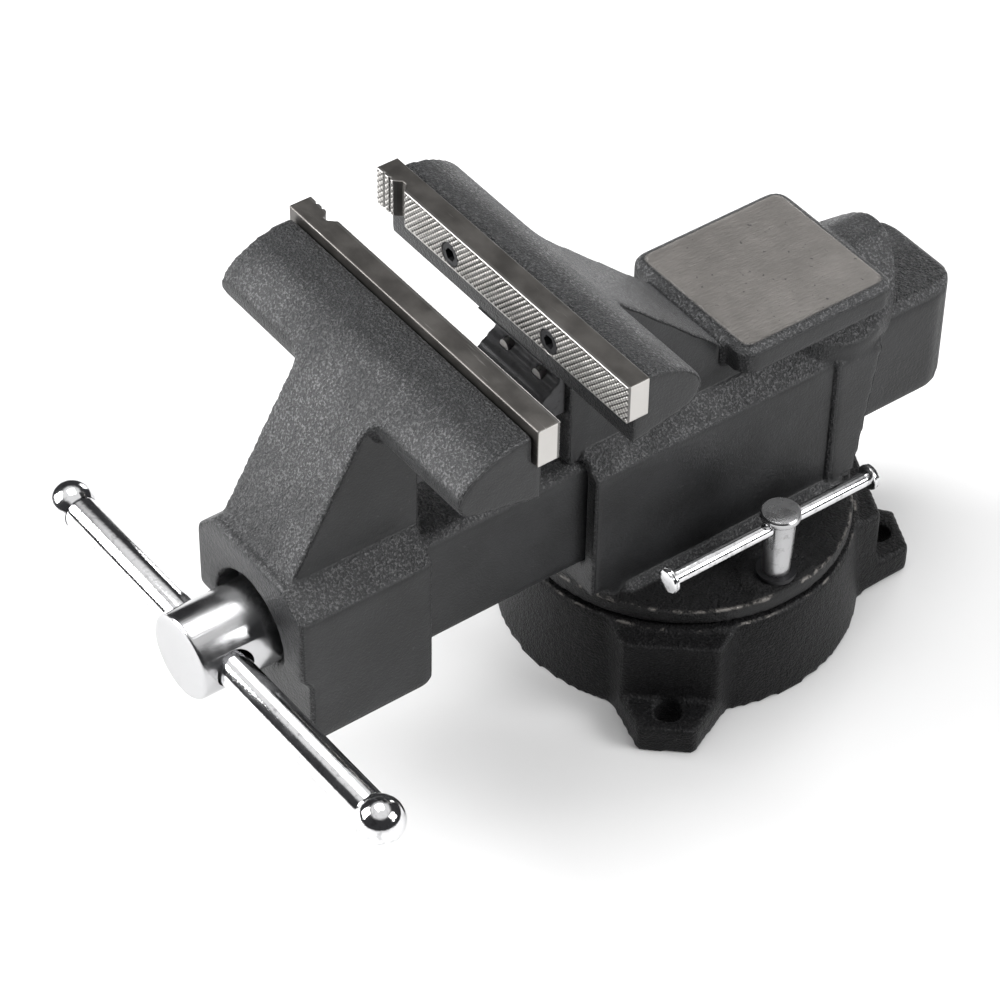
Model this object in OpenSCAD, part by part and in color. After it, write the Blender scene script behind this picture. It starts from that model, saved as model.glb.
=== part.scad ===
// Swivel-base bench vise with reversible jaw plates, pipe jaws and an anvil.
// Millimetres. +Z up, +Y away from the handle, +X along the jaws.
// Origin: swivel axis, on the plane that the base stands on.
// The jaws are drawn part open, by jaw_gap.

/* [Jaws] */
// Length of the jaw plates
jaw_w = 152.4; // [125:0.1:200]
// Height of a jaw plate
plate_h = 16.8; // [12:0.1:20]
// Thickness of a jaw plate
plate_t = 9.8; // [7:0.1:14]
// Opening between the plates as drawn
jaw_gap = 29.2; // [10:0.1:60]
// Widest opening of the jaws
jaw_open_max = 127; // [90:1:140]
// How far a plate stands past each end of its casting
plate_proud = 2.2; // [0.5:0.1:5]
// Depth of the ledge that carries the plate
ledge_d = 4.6; // [3:0.1:6]
// Height of the jaw tops above the slide bar
jaw_rise = 86; // [78:1:110]
// Depth of the moving jaw behind its plate
moving_depth = 32.2; // [30:0.1:40]
// Depth of the fixed jaw behind its plate
fixed_depth = 26.3; // [25:0.1:36]
// Distance of each plate screw from the middle
plate_screw_x = 30; // [20:0.5:45]
// Height of the plate screws above the plate's lower edge
plate_screw_h = 5.6; // [5:0.1:8]
// Width of the neck that carries each jaw
neck_w = 45.4; // [38:0.2:52]

/* [Slide bar] */
// Width of the slide bar
bar_w = 51; // [46:0.5:60]
// Height of the slide bar
bar_h = 51.7; // [47:0.1:60]
// Rounding of the bar's upper edges
bar_round = 6; // [3:0.5:8]
// Reach of the bar's tail behind the swivel axis
tail_y = 118; // [110:1:130]
// Clearance between the bar and the housing, each side
slide_gap = 0.3; // [0.2:0.05:0.6]
// Side wall of the slide bar
bar_wall = 8; // [6:0.5:9]
// Roof of the slide bar
bar_roof = 9; // [7:0.5:11]
// Thickness of the tail's closed end
tail_wall = 8; // [5:0.5:12]

/* [Front apron] */
// Width of the apron
apron_w = 69; // [62:0.5:78]
// How far the apron hangs below the slide bar
apron_drop = 12.3; // [8:0.1:16]
// Distance from the moving plate's back to the apron's front face
apron_front = 72.7; // [68:0.1:85]
// Distance from the moving plate's back to the apron's rear face
apron_rear = 13.2; // [10:0.1:18]
// Height of the apron's shoulder above the slide bar's underside
shoulder_h = 49.4; // [45:0.1:52]
// Diameter of the recess round the spindle head
recess_d = 43.4; // [40:0.2:48]
// Depth of that recess
recess_deep = 12.5; // [8:0.5:16]
// Wall that takes the spindle's thrust
thrust_wall = 18; // [14:0.5:22]

/* [Housing and swivel] */
// Side wall of the housing round the bar
housing_wall = 6.9; // [6:0.1:10]
// Floor under the slide bar, above the turntable
floor_t = 18.6; // [16:0.1:26]
// Front face of the housing, in front of the swivel axis
housing_front = 69.5; // [64:0.5:76]
// Rear edge of the housing's shoulder, behind the swivel axis
housing_rear = 70; // [66:0.5:76]
// Height of the housing's foot fillet
foot_fillet = 5.6; // [3:0.1:8]
// Radius of the turntable
table_r = 68.6; // [66:0.1:70]
// Thickness of the turntable
table_t = 7.6; // [6:0.1:12]
// Gap between turntable and base
swivel_gap = 0.3; // [0.2:0.05:0.6]
// Radius of the centring spigot
spigot_r = 20; // [16:0.5:24]
// Running clearance of spigot, screws and bores, on the radius
run_gap = 0.08; // [0.02:0.01:0.1]

/* [Base] */
// Radius of the base at the bench
base_r = 73.8; // [72:0.1:90]
// Radius of the base at its top
base_top_r = 70.3; // [70:0.1:80]
// Height of the base
base_h = 43.5; // [38:0.5:60]
// Thickness of the bolt-down lugs
lug_t = 13; // [9:0.5:18]
// Radius of the bolt holes in the lugs
lug_hole_r = 5.4; // [4:0.1:6.5]
// Distance of the bolt holes from the swivel axis
lug_hole_at = 84.3; // [83:0.1:90]
// Direction in which the pair of front lugs faces
lug_turn = 12.7; // [-30:0.1:30]
// Angle between the two lugs of the pair
lug_spread = 106.5; // [90:0.5:130]

/* [Lock bolts] */
// Distance of the lock bolts from the swivel axis
lock_at = 59.2; // [58.5:0.1:60]
// Radius of the lock bolt's thread
lock_r = 4.76; // [4:0.01:5]
// Height of the lock bolt's top above the turntable
lock_h = 34.4; // [30:0.2:45]
// Radius of the lock bolt's head
lock_head_r = 8; // [7:0.1:10]
// Radius of the cross bar in the lock bolt
lock_bar_r = 2.95; // [2.5:0.05:3.5]
// Length of the cross bar over its end caps
lock_bar_l = 102; // [70:1:104]
// How far the near cross bar is slid towards the handle
lock_bar_off = 4.6; // [0:0.1:20]

/* [Spindle and handle] */
// Height of the spindle above the bar's underside
spindle_rise = 25.6; // [23:0.1:28]
// Radius of the spindle screw
screw_r = 11; // [9:0.1:12]
// Travel of the jaw for one turn of the spindle
screw_lead = 5.08; // [3:0.01:8]
// Radius of the spindle head
head_r = 17.2; // [15:0.1:19]
// How far the head stands out of the apron
head_out = 30.3; // [26:0.1:40]
// Radius of the handle
handle_r = 6.8; // [5:0.1:8]
// Play of the handle in its cross hole
handle_gap = 1.2; // [0.6:0.1:2]
// Length of the handle between its ball centres
handle_l = 203; // [160:1:260]
// How far the handle is slid towards +X
handle_off = 6.3; // [0:0.1:30]
// Tilt of the handle as drawn
handle_tilt = 1.1; // [0:0.1:20]
// Radius of the handle's balls
ball_r = 9.3; // [8.5:0.1:12]

/* [Anvil] */
// Width of the anvil's face
anvil_w = 67.2; // [56:0.2:80]
// Length of the anvil's face
anvil_l = 70.6; // [62:0.2:80]
// Front edge of the anvil's face, in front of the swivel axis
anvil_front = 0.8; // [0:0.1:8]
// Drop from the jaw tops to the anvil's face
anvil_drop = 58.4; // [52:0.2:64]
// Thickness of the anvil's block
anvil_t = 12.6; // [10:0.2:16]
// Slope of the anvil's rim, across and down
anvil_rim = 2.6; // [1:0.1:4]

/* [Hidden] */
$fn = 96;

// A cut runs this far past the face it starts from.
past = 1;

// Heights
table_z0 = base_h + swivel_gap;
table_z1 = table_z0 + table_t;
foot_z = table_z1 + foot_fillet;
channel_z0 = table_z1 + floor_t;
bar_z0 = channel_z0 + slide_gap;
bar_z1 = bar_z0 + bar_h;
jaw_z = bar_z1 + jaw_rise;
spindle_z = bar_z0 + spindle_rise;
shoulder_z = bar_z0 + shoulder_h;
apron_z0 = bar_z0 - apron_drop;
anvil_z = jaw_z - anvil_drop;
plate_z0 = jaw_z - plate_h;

// Places along the slide
plate_face_y = -92.8;
fixed_back = plate_face_y + plate_t;
moving_face_y = plate_face_y - jaw_gap;
moving_back = moving_face_y - plate_t;
apron_y0 = moving_back - apron_front;
apron_y1 = moving_back - apron_rear;
flange_y = housing_rear - 22.5;
recess_y = apron_y0 + recess_deep;
wall_y = recess_y + thrust_wall;
head_y0 = apron_y0 - head_out;
handle_y = apron_y0 - head_out * 0.56;

// Half widths
jaw_x = jaw_w / 2 - plate_proud;
neck_x = neck_w / 2;
bar_x = bar_w / 2;
hollow_x = bar_x - bar_wall;
apron_x = apron_w / 2;
channel_x = bar_x + slide_gap;
housing_x = channel_x + housing_wall;
flange_x = housing_x + 2;

// Jaw section: heights below the jaw top, and radii
nose_r = 8.7;
moving_nose_h = -19.7;
fixed_nose_h = -17.6;
moving_crown_r = 41;
fixed_crown_r = 33;
moving_top_h = -3.5;
fixed_top_h = -2;
moving_ledge_h = -35;
fixed_ledge_h = -31.3;
neck_fillet = 10;
neck_inset = 0.5;

neck_step = 1.2;
recess_floor = 5;
apron_lip = 4.8;
apron_step = 4;
apron_corner = 3;

// Pipe jaws, under the plates
pipe_w = 40;
pipe_top_z = jaw_z + fixed_ledge_h - 0.5;
pipe_h = 29;
pipe_back = 9;
pipe_lip = 4.5;
pipe_tooth = 1;
pipe_teeth = 4;
pipe_pin_r = 2.5;
pipe_pin_l = 12;
throat_y = fixed_back + 7;
moving_throat_y = moving_back - apron_rear + neck_step;

// Screws of the jaw plates
plate_screw_z = plate_z0 + plate_screw_h;
plate_screw_r = 3.2;
plate_screw_head_r = 5;
plate_screw_head_t = 5.5;
plate_screw_l = 16;
socket_r = 2.5;
socket_deep = 3;
screw_play = 0.1;

// Vee groove and side grooves at the far end of each plate
vee_x = -jaw_w / 2 + 14;
vee_half = 4;
vee_deep = 3.2;
groove_w = 1.8;
groove_deep = 1.2;
groove_x = [-jaw_w / 2 + 4.6, -jaw_w / 2 + 8.2];

// Housing: drop of its shoulder under the apron's, rear slope, and hood
housing_drop = 2.7;
rear_slope = 10;
hood_top = anvil_z - 2;
hood_side_z = bar_z1 + slide_gap + 2;
hood_ridge_r = 20;
hood_back = 12;

// Where the web's rear slope ends under the anvil, and rounding in plan
web_foot = 5.9;
anvil_corner = 4.5;
tail_round = 14;

// Swivel tee slot in the base
slot_half = 5.3;
tee_in = 9.5;
tee_out = 7.2;
slot_lip = 9;
tee_deep = 12.5;
tee_len = 24;
tee_flange_t = 8.5;
tee_neck_top = 1.2;
base_floor = 8;
hub_r = 27;
ring_w = 10;
spigot_l = 10;
lock_hole_gap = 0.8;
lock_washer_t = 2;
lock_pad_t = 2;
lock_pad_r = 15;
lock_disc_t = 3.2;
lock_neck_r = 6.5;
lock_foot_r = 5.6;
lock_bar_drop = 6.6;
lock_cap_r = 5.3;
lock_cap_t = 3;
lock_rim_t = 1.2;

// Lugs: their directions and outlines
lug_dirs = [lug_turn - lug_spread / 2, lug_turn + lug_spread / 2, lug_turn + 180];
lug_end_at = lug_hole_at + lug_hole_r + 4.9;
lug_end_half = 11;
buttress_at = lug_hole_at - lug_hole_r - 0.5;
buttress_half = 19;
buttress_root = 62;
buttress_root_half = 27;
buttress_top = base_h - 2;

// Spindle group
head_bore_l = 17;
head_pin_r = 2.2;
head_chamfer = 0.8;
screw_end = tail_y - tail_wall - 4;
washer_r = 16;
washer_t = 3;
spring_l = 14;
spring_r = 13.6;
spring_wire = 1.5;
spring_turns = 4;
spring_steps = 18;
spring_sides = 8;
pin_r = 2.5;
pin_l = 31;
nut_y0 = -56;
nut_l = 50;
nut_gap = 0.5;
nut_top = 16;
nut_bolt_r = 5;
nut_bolt_head_r = 8;
nut_bolt_head_t = 8;
nut_bolt_l = 36;
ball_socket = 2;

grey = [0.2, 0.21, 0.22];
dark = [0.1, 0.1, 0.11];
steel = [0.62, 0.61, 0.58];
chrome = [0.82, 0.82, 0.84];

// Point where circle (p, rp) meets circle (q, rq), on the left of p to q.
function circles_meet(p, rp, q, rq) =
    let (d = norm(q - p), a = (d * d + rp * rp - rq * rq) / (2 * d))
    let (u = (q - p) / d, h = sqrt(rp * rp - a * a))
    p + u * a + [-u[1], u[0]] * h;

// Point where a line from p touches circle (c, r); side is 1 or -1.
function touch(p, c, r, side) =
    let (v = p - c, a = atan2(v[1], v[0]) + side * acos(r / norm(v)))
    c + r * [cos(a), sin(a)];

// Centre of the crown arc: through (0, top_h) and round the nose circle.
function crown_at(depth, nose_h, top_h, crown_r) =
    let (nose = [depth - nose_r, nose_h])
    circles_meet(nose, crown_r - nose_r, [0, top_h], crown_r);

// Extrude a drawing in Y and Z along X, over the width w about x = 0.
module along_x(w) {
    rotate([90, 0, 90])
        translate([0, 0, -w / 2])
            linear_extrude(w)
                children();
}

// Extrude a drawing in X and Z along Y, from y0 to y1.
module along_y(y0, y1) {
    translate([0, y1, 0])
        rotate([90, 0, 0])
            linear_extrude(y1 - y0)
                children();
}

// Cylinder along Y, from y0 to y1, at the height z.
module rod_y(r, y0, y1, x = 0, z = 0) {
    translate([x, y0, z])
        rotate([-90, 0, 0])
            cylinder(r = r, h = y1 - y0);
}

// Place a jaw drawing (distance behind the plate, height below the top).
module jaw_place(back, dir) {
    translate([back, jaw_z])
        scale_y(dir)
            children();
}

// Mirror a drawing so that its first axis runs towards dir.
module scale_y(dir) {
    if (dir > 0) {
        children();
    } else {
        mirror([1, 0])
            children();
    }
}

// Section of a jaw's wing: ledge, crowned top and round nose.
module wing_section(depth, nose_h, top_h, crown_r, ledge_h) {
    nose = [depth - nose_r, nose_h];
    crown = crown_at(depth, nose_h, top_h, crown_r);
    ledge = [-ledge_d, ledge_h];
    over = crown + (nose - crown) * 1.9;
    translate(nose)
        circle(r = nose_r);
    intersection() {
        translate(crown)
            circle(r = crown_r);
        polygon([
            ledge, [-ledge_d, -plate_h], [0, -plate_h], [0, top_h + nose_r],
            over, nose, touch(ledge, nose, nose_r, 1)
        ]);
    }
    polygon([ledge, [-ledge_d, -plate_h], [0, -plate_h], nose, touch(ledge, nose, nose_r, 1)]);
}

// Section of a jaw's neck: crowned top, then a straight slope down to foot.
module neck_section(depth, nose_h, top_h, crown_r, rear, foot, bottom_h) {
    crown = crown_at(depth, nose_h, top_h, crown_r);
    r = crown_r - neck_inset;
    tangent = touch(foot, crown, r, 1);
    over = crown + (tangent - crown) * 1.4;
    intersection() {
        translate(crown)
            circle(r = r);
        polygon([[rear, bottom_h], [rear, top_h + nose_r], over, tangent, [tangent[0], bottom_h]]);
    }
    polygon([[rear, nose_h], tangent, foot, [foot[0], bottom_h], [rear, bottom_h]]);
}

// Height, under the jaw top, at which the crown arc leaves the nose circle.
function nose_end(depth, nose_h, top_h, crown_r) =
    let (nose = [depth - nose_r, nose_h], crown = crown_at(depth, nose_h, top_h, crown_r))
    nose_h + (nose - crown)[1] / norm(nose - crown) * nose_r;

// Front view of a neck: straight sides, with fillets that end at the height top.
module neck_front(z0, top) {
    wing_z = top - 0.8;
    translate([-neck_x, z0])
        square([neck_w, jaw_z - z0]);
    difference() {
        translate([-neck_x - neck_fillet, wing_z - neck_fillet])
            square([neck_w + 2 * neck_fillet, neck_fillet]);
        for (side = [-1, 1])
            translate([side * (neck_x + neck_fillet), wing_z - neck_fillet])
                circle(r = neck_fillet);
    }
}

// Rectangle with rounded upper corners.
module arch_box(half, z0, z1, r) {
    translate([-half, z0])
        square([2 * half, z1 - z0 - r]);
    translate([-half + r, z0])
        square([2 * half - 2 * r, z1 - z0]);
    for (side = [-1, 1])
        translate([side * (half - r), z1 - r])
            circle(r = r);
}

// Box section with sloped shoulders up to the neck's width.
module shouldered(half, z0, z1) {
    polygon([
        [-half, z0], [half, z0], [half, z1],
        [neck_x, z1 + half - neck_x], [-neck_x, z1 + half - neck_x], [-half, z1]
    ]);
}

// Rectangle with all corners rounded.
module round_box(w, l, r) {
    for (x = [-w / 2 + r, w / 2 - r])
        for (y = [r, l - r])
            translate([x, y])
                circle(r = r);
    translate([-w / 2 + r, 0])
        square([w - 2 * r, l]);
    translate([-w / 2, r])
        square([w, l - 2 * r]);
}

// Block of height h whose rim slopes in at the top.
module rimmed_block(w, l, r, h, rim) {
    translate([0, -rim, 0])
        linear_extrude(h - rim)
            round_box(w + 2 * rim, l + 2 * rim, r + rim);
    for (x = [-w / 2 + r, w / 2 - r])
        for (y = [r, l - r])
            translate([x, y, h - rim])
                cylinder(r1 = r + rim, r2 = r, h = rim);
    rim_prism(w - 2 * r, l, h, rim);
    translate([0, l / 2, 0])
        rotate([0, 0, 90])
            translate([0, -w / 2, 0])
                rim_prism(l - 2 * r, w, h, rim);
}

// Straight stretch of the sloped rim, across the width w.
module rim_prism(w, l, h, rim) {
    along_x(w)
        polygon([[-rim, h - rim], [0, h], [l, h], [l + rim, h - rim]]);
}

// Triangle of metal in a foot corner, along Y on both sides.
module foot_fillets(y0, y1) {
    for (side = [0, 1])
        mirror([side, 0, 0])
            along_y(y0, y1)
                polygon([
                    [housing_x - past, table_z1 - past], [housing_x - past, foot_z],
                    [housing_x, foot_z], [housing_x + foot_fillet, table_z1],
                    [housing_x + foot_fillet, table_z1 - past]
                ]);
}

// Annulus from r0 to r1, between the heights z0 and z1.
module ring(r0, r1, z0, z1) {
    translate([0, 0, z0])
        difference() {
            cylinder(r = r1, h = z1 - z0);
            translate([0, 0, -past])
                cylinder(r = r0, h = z1 - z0 + 2 * past);
        }
}

// One lug of the base, pointing along +X, without its hole.
module lug() {
    linear_extrude(lug_t)
        polygon([
            [buttress_root, -buttress_root_half], [buttress_at, -buttress_half],
            [lug_end_at, -lug_end_half], [lug_end_at, lug_end_half],
            [buttress_at, buttress_half], [buttress_root, buttress_root_half]
        ]);
    linear_extrude(buttress_top)
        polygon([
            [buttress_root, -buttress_root_half], [buttress_at, -buttress_half],
            [buttress_at, buttress_half], [buttress_root, buttress_root_half]
        ]);
}

module swivel_base() {
    tee_z1 = base_h - slot_lip;
    tee_z0 = tee_z1 - tee_deep;
    cavity_z = tee_z0 - base_floor;
    color(dark)
        difference() {
            union() {
                cylinder(r1 = base_r, r2 = base_top_r, h = base_h);
                for (a = lug_dirs)
                    rotate([0, 0, a])
                        lug();
            }
            ring(hub_r, base_r - ring_w, -past, cavity_z);
            ring(lock_at - slot_half, lock_at + slot_half, tee_z1 - past, base_h + past);
            ring(lock_at - tee_in, lock_at + tee_out, tee_z0, tee_z1);
            intersection() {
                ring(lock_at - tee_in, lock_at + tee_out, tee_z0, base_h + past);
                translate([-tee_len / 2 - past, 0, 0])
                    cube([tee_len + 2 * past, base_r, base_h + 2 * past]);
            }
            translate([0, 0, base_h - spigot_l - 2 * swivel_gap])
                cylinder(r = spigot_r + run_gap, h = spigot_l + past + 2 * swivel_gap);
            for (a = lug_dirs)
                rotate([0, 0, a])
                    translate([lug_hole_at, 0, -past])
                        cylinder(r = lug_hole_r, h = lug_t + 2 * past);
        }
}

// Hole of a plate screw through casting metal, from the plate's back.
module plate_screw_holes(back, dir) {
    y0 = dir > 0 ? back - past : back - plate_screw_l;
    y1 = dir > 0 ? back + plate_screw_l : back + past;
    for (side = [-1, 1])
        rod_y(plate_screw_r + screw_play, y0, y1, side * plate_screw_x, plate_screw_z);
}

// Hole of a pipe jaw's pins, into the casting behind it.
module pipe_pin_holes(back, dir) {
    y0 = dir > 0 ? back - past : back - pipe_pin_l / 2;
    y1 = dir > 0 ? back + pipe_pin_l / 2 : back + past;
    for (side = [-1, 1])
        rod_y(pipe_pin_r, y0, y1, side * pipe_w / 4, pipe_top_z - pipe_h / 2);
}

// Hood behind the anvil, over the end of the channel: a rounded ridge, round at the rear.
module rear_hood() {
    hood_r = flange_x - 0.3;
    eave_x = hood_r + past;
    ridge = [0, hood_top - hood_ridge_r];
    intersection() {
        translate([0, housing_rear - hood_back, foot_z])
            cylinder(r = hood_r, h = hood_top - foot_z);
        along_y(0, tail_y) {
            translate(ridge)
                circle(r = hood_ridge_r);
            polygon([
                [-eave_x, foot_z], [eave_x, foot_z], [eave_x, hood_side_z],
                touch([eave_x, hood_side_z], ridge, hood_ridge_r, 1),
                touch([-eave_x, hood_side_z], ridge, hood_ridge_r, -1),
                [-eave_x, hood_side_z]
            ]);
        }
    }
}

module body_casting() {
    foot = [web_foot - fixed_back, -anvil_drop - anvil_t];
    color(grey)
        difference() {
            union() {
                translate([0, 0, table_z0])
                    cylinder(r = table_r, h = table_t);
                translate([0, 0, table_z0 - spigot_l])
                    cylinder(r = spigot_r, h = spigot_l);
                intersection() {
                    translate([-housing_x, -housing_front, table_z0])
                        cube([2 * housing_x, housing_front + housing_rear, foot_z - table_z0]);
                    translate([0, 0, table_z0])
                        cylinder(r = table_r, h = foot_z - table_z0 + past);
                }
                intersection() {
                    foot_fillets(-table_r + 15, table_r - 15);
                    translate([0, 0, table_z1 - past])
                        cylinder(r = table_r, h = foot_fillet + 2 * past);
                }
                intersection() {
                    union() {
                        along_y(-housing_front, housing_rear)
                            shouldered(housing_x, foot_z, shoulder_z - housing_drop);
                        along_y(flange_y, housing_rear)
                            shouldered(flange_x, foot_z, shoulder_z - housing_drop);
                    }
                    along_x(2 * flange_x)
                        polygon([
                            [-housing_front, foot_z - past],
                            [housing_rear - rear_slope, foot_z - past],
                            [housing_rear, shoulder_z],
                            [housing_rear, anvil_z], [-housing_front, anvil_z]
                        ]);
                }
                intersection() {
                    rear_hood();
                    translate([-apron_w, 0, shoulder_z - housing_drop])
                        cube([2 * apron_w, tail_y, jaw_z]);
                }
                along_x(2 * jaw_x)
                    jaw_place(fixed_back, 1)
                        wing_section(fixed_depth, fixed_nose_h, fixed_top_h,
                                     fixed_crown_r, fixed_ledge_h);
                intersection() {
                    along_x(neck_w + 4 * neck_fillet)
                        jaw_place(fixed_back, 1)
                            neck_section(fixed_depth, fixed_nose_h, fixed_top_h,
                                         fixed_crown_r, throat_y - fixed_back,
                                         foot, shoulder_z - jaw_z);
                    along_y(fixed_back - ledge_d, housing_rear)
                        neck_front(shoulder_z, jaw_z + nose_end(fixed_depth, fixed_nose_h,
                                                                fixed_top_h, fixed_crown_r));
                }
                along_x(neck_w)
                    polygon([
                        [past - anvil_front, shoulder_z], [past - anvil_front, anvil_z - past],
                        [housing_rear, anvil_z - past], [housing_rear, shoulder_z]
                    ]);
                translate([0, -anvil_front, anvil_z - anvil_t])
                    rimmed_block(anvil_w, anvil_l, anvil_corner, anvil_t, anvil_rim);
                for (side = [-1, 1])
                    intersection() {
                        translate([side * lock_at, 0, table_z1 - past])
                            cylinder(r = lock_pad_r, h = lock_pad_t + past);
                        translate([0, 0, table_z1 - past])
                            cylinder(r = table_r - 1.5, h = lock_pad_t + 2 * past);
                    }
            }
            along_y(-base_r - plate_t, tail_y + past)
                arch_box(channel_x, channel_z0, bar_z1 + slide_gap, bar_round + slide_gap);
            for (side = [-1, 1])
                translate([side * lock_at, 0, table_z0 - past])
                    cylinder(r = lock_r + lock_hole_gap, h = table_t + lock_pad_t + 2 * past);
            translate([0, nut_y0 + nut_l / 2, table_z0 - past]) {
                cylinder(r = nut_bolt_r + screw_play, h = floor_t + table_t + 2 * past);
                cylinder(r = nut_bolt_head_r + screw_play, h = nut_bolt_head_t + past);
            }
            plate_screw_holes(fixed_back, 1);
            pipe_pin_holes(throat_y, 1);
        }
}

module moving_jaw_casting() {
    foot = [apron_front, shoulder_z - jaw_z + apron_lip];
    color(grey)
        difference() {
            union() {
                along_x(2 * jaw_x)
                    jaw_place(moving_back, -1)
                        wing_section(moving_depth, moving_nose_h, moving_top_h,
                                     moving_crown_r, moving_ledge_h);
                intersection() {
                    along_x(neck_w + 4 * neck_fillet)
                        jaw_place(moving_back, -1)
                            neck_section(moving_depth, moving_nose_h, moving_top_h,
                                         moving_crown_r, apron_rear - neck_step, foot,
                                         bar_z1 - jaw_z - bar_h / 2);
                    along_y(apron_y0, moving_back)
                        neck_front(spindle_z, jaw_z + nose_end(moving_depth, moving_nose_h,
                                                               moving_top_h, moving_crown_r));
                }
                intersection() {
                    along_y(apron_y0, apron_y1)
                        shouldered(apron_x, apron_z0, shoulder_z);
                    translate([0, apron_y0, apron_z0 - past])
                        linear_extrude(jaw_z)
                            round_box(apron_w, apron_y1 - apron_y0, apron_corner);
                    along_x(apron_w)
                        polygon([
                            [apron_y0 + apron_step, apron_z0],
                            [apron_y0 + apron_step, spindle_z - 2 * apron_step],
                            [apron_y0, spindle_z - apron_step],
                            [apron_y0, jaw_z], [apron_y1, jaw_z],
                            [apron_y1, apron_z0 + apron_step],
                            [apron_y1 - apron_step, apron_z0]
                        ]);
                }
                intersection() {
                    along_y(apron_y1 - past, tail_y)
                        arch_box(bar_x, bar_z0, bar_z1, bar_round);
                    tail_shape();
                    translate([0, apron_y1 - past - tail_round, bar_z0 - past])
                        linear_extrude(bar_h + 2 * past)
                            round_box(bar_w, tail_y - apron_y1 + past + tail_round, tail_round);
                }
            }
            bar_hollow();
            intersection() {
                rod_y(recess_d / 2, apron_y0 - past, recess_y, 0, spindle_z);
                translate([-recess_d, apron_y0 - 2 * past, spindle_z - recess_floor])
                    cube([2 * recess_d, recess_deep + 3 * past, recess_d]);
            }
            rod_y(head_r + 2 * swivel_gap, apron_y0 - past, recess_y, 0, spindle_z);
            rod_y(screw_r + run_gap, recess_y - past, wall_y + past, 0, spindle_z);
            plate_screw_holes(moving_back, -1);
            pipe_pin_holes(moving_throat_y, -1);
        }
}

// Side outline of the slide bar, with a rounded lower tail corner.
module tail_shape() {
    r = 14;
    along_x(2 * bar_x + 2 * past) {
        translate([apron_y1 - 2 * past, bar_z0])
            square([tail_y - r - apron_y1 + 2 * past, bar_h]);
        translate([tail_y - 2 * r, bar_z0 + r])
            square([2 * r, bar_h - r - 3]);
        translate([tail_y - 2 * r, bar_z0 + r])
            square([2 * r - 3, bar_h - r]);
        translate([tail_y - r, bar_z0 + r])
            circle(r = r);
        translate([tail_y - 3, bar_z1 - 3])
            circle(r = 3);
    }
}

// Space inside the slide bar, open below.
module bar_hollow() {
    translate([-hollow_x, wall_y, apron_z0 - past])
        cube([2 * hollow_x, tail_y - tail_wall - wall_y, bar_z1 - bar_roof - apron_z0 + past]);
}

// A jaw plate with its back at y = back; dir points from face to back.
module jaw_plate(face, dir) {
    y0 = dir > 0 ? face : face - plate_t;
    difference() {
        translate([-jaw_w / 2, y0, plate_z0])
            cube([jaw_w, plate_t, plate_h]);
        translate([0, face, plate_z0 - past])
            linear_extrude(plate_h + 2 * past) {
                polygon([
                    [vee_x - vee_half, -dir * past], [vee_x - vee_half, 0],
                    [vee_x - 1, dir * vee_deep], [vee_x + 1, dir * vee_deep],
                    [vee_x + vee_half, 0], [vee_x + vee_half, -dir * past]
                ]);
                for (x = groove_x)
                    polygon([
                        [x - groove_w / 2, -dir * past], [x - groove_w / 2, 0],
                        [x, dir * groove_deep], [x + groove_w / 2, 0],
                        [x + groove_w / 2, -dir * past]
                    ]);
            }
        for (side = [-1, 1]) {
            rod_y(plate_screw_r + screw_play, y0 - past, y0 + plate_t + past,
                  side * plate_screw_x, plate_screw_z);
            if (dir > 0)
                rod_y(plate_screw_head_r + screw_play, face - past,
                      face + plate_screw_head_t + 0.5, side * plate_screw_x, plate_screw_z);
            else
                rod_y(plate_screw_head_r + screw_play, face - plate_screw_head_t - 0.5,
                      face + past, side * plate_screw_x, plate_screw_z);
        }
    }
}

// Two socket screws whose heads are sunk in the plate.
module plate_screws(face, dir) {
    seat = face + dir * (plate_screw_head_t + 0.5);
    head = seat - dir * plate_screw_head_t;
    tip = face + dir * (plate_t + plate_screw_l - 2);
    for (side = [-1, 1])
        difference() {
            union() {
                rod_y(plate_screw_head_r, min(seat, head), max(seat, head),
                      side * plate_screw_x, plate_screw_z);
                rod_y(plate_screw_r, min(seat, tip), max(seat, tip),
                      side * plate_screw_x, plate_screw_z);
            }
            translate([side * plate_screw_x, head - dir * past, plate_screw_z])
                rotate([dir > 0 ? -90 : 90, 0, 0])
                    cylinder(r = socket_r, h = socket_deep + past, $fn = 6);
        }
}

// A pipe jaw: a toothed vee across the front of a block.
module pipe_jaw(back, dir, depth, top) {
    notch = pipe_teeth * 2;
    upper = [for (i = [0:notch]) [
        depth - (i % 2 == 0 ? 0 : pipe_tooth) - i / notch * pipe_back,
        -i / notch * pipe_h * 0.42
    ]];
    lower = [for (i = [1:notch]) [
        depth - pipe_back - (i % 2 == 0 ? 0 : pipe_tooth) + i / notch * (pipe_back + pipe_lip),
        -pipe_h * 0.42 - i / notch * pipe_h * 0.36
    ]];
    along_x(pipe_w)
        translate([back, pipe_top_z])
            scale_y(-dir)
                difference() {
                    polygon(concat([[0, 0]], upper, lower,
                                   [[depth + pipe_lip, -pipe_h], [0, -pipe_h]]));
                    translate([-past, top])
                        square([depth + pipe_back, pipe_h]);
                }
}

// Pins that hold a pipe jaw to its casting.
module pipe_pins(back) {
    for (side = [-1, 1])
        rod_y(pipe_pin_r, back - pipe_pin_l / 2, back + pipe_pin_l / 2,
              side * pipe_w / 4, pipe_top_z - pipe_h / 2);
}

// Cut the holes of the pins in a pipe jaw.
module pinned_pipe_jaw(back, dir, depth, top) {
    difference() {
        pipe_jaw(back, dir, depth, top);
        pipe_pins(back);
    }
}

module fixed_jaw_plate() {
    color(steel)
        jaw_plate(plate_face_y, 1);
}

module moving_jaw_plate() {
    color(steel)
        jaw_plate(moving_face_y, -1);
}

module fixed_plate_screws() {
    color(dark)
        plate_screws(plate_face_y, 1);
}

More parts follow.
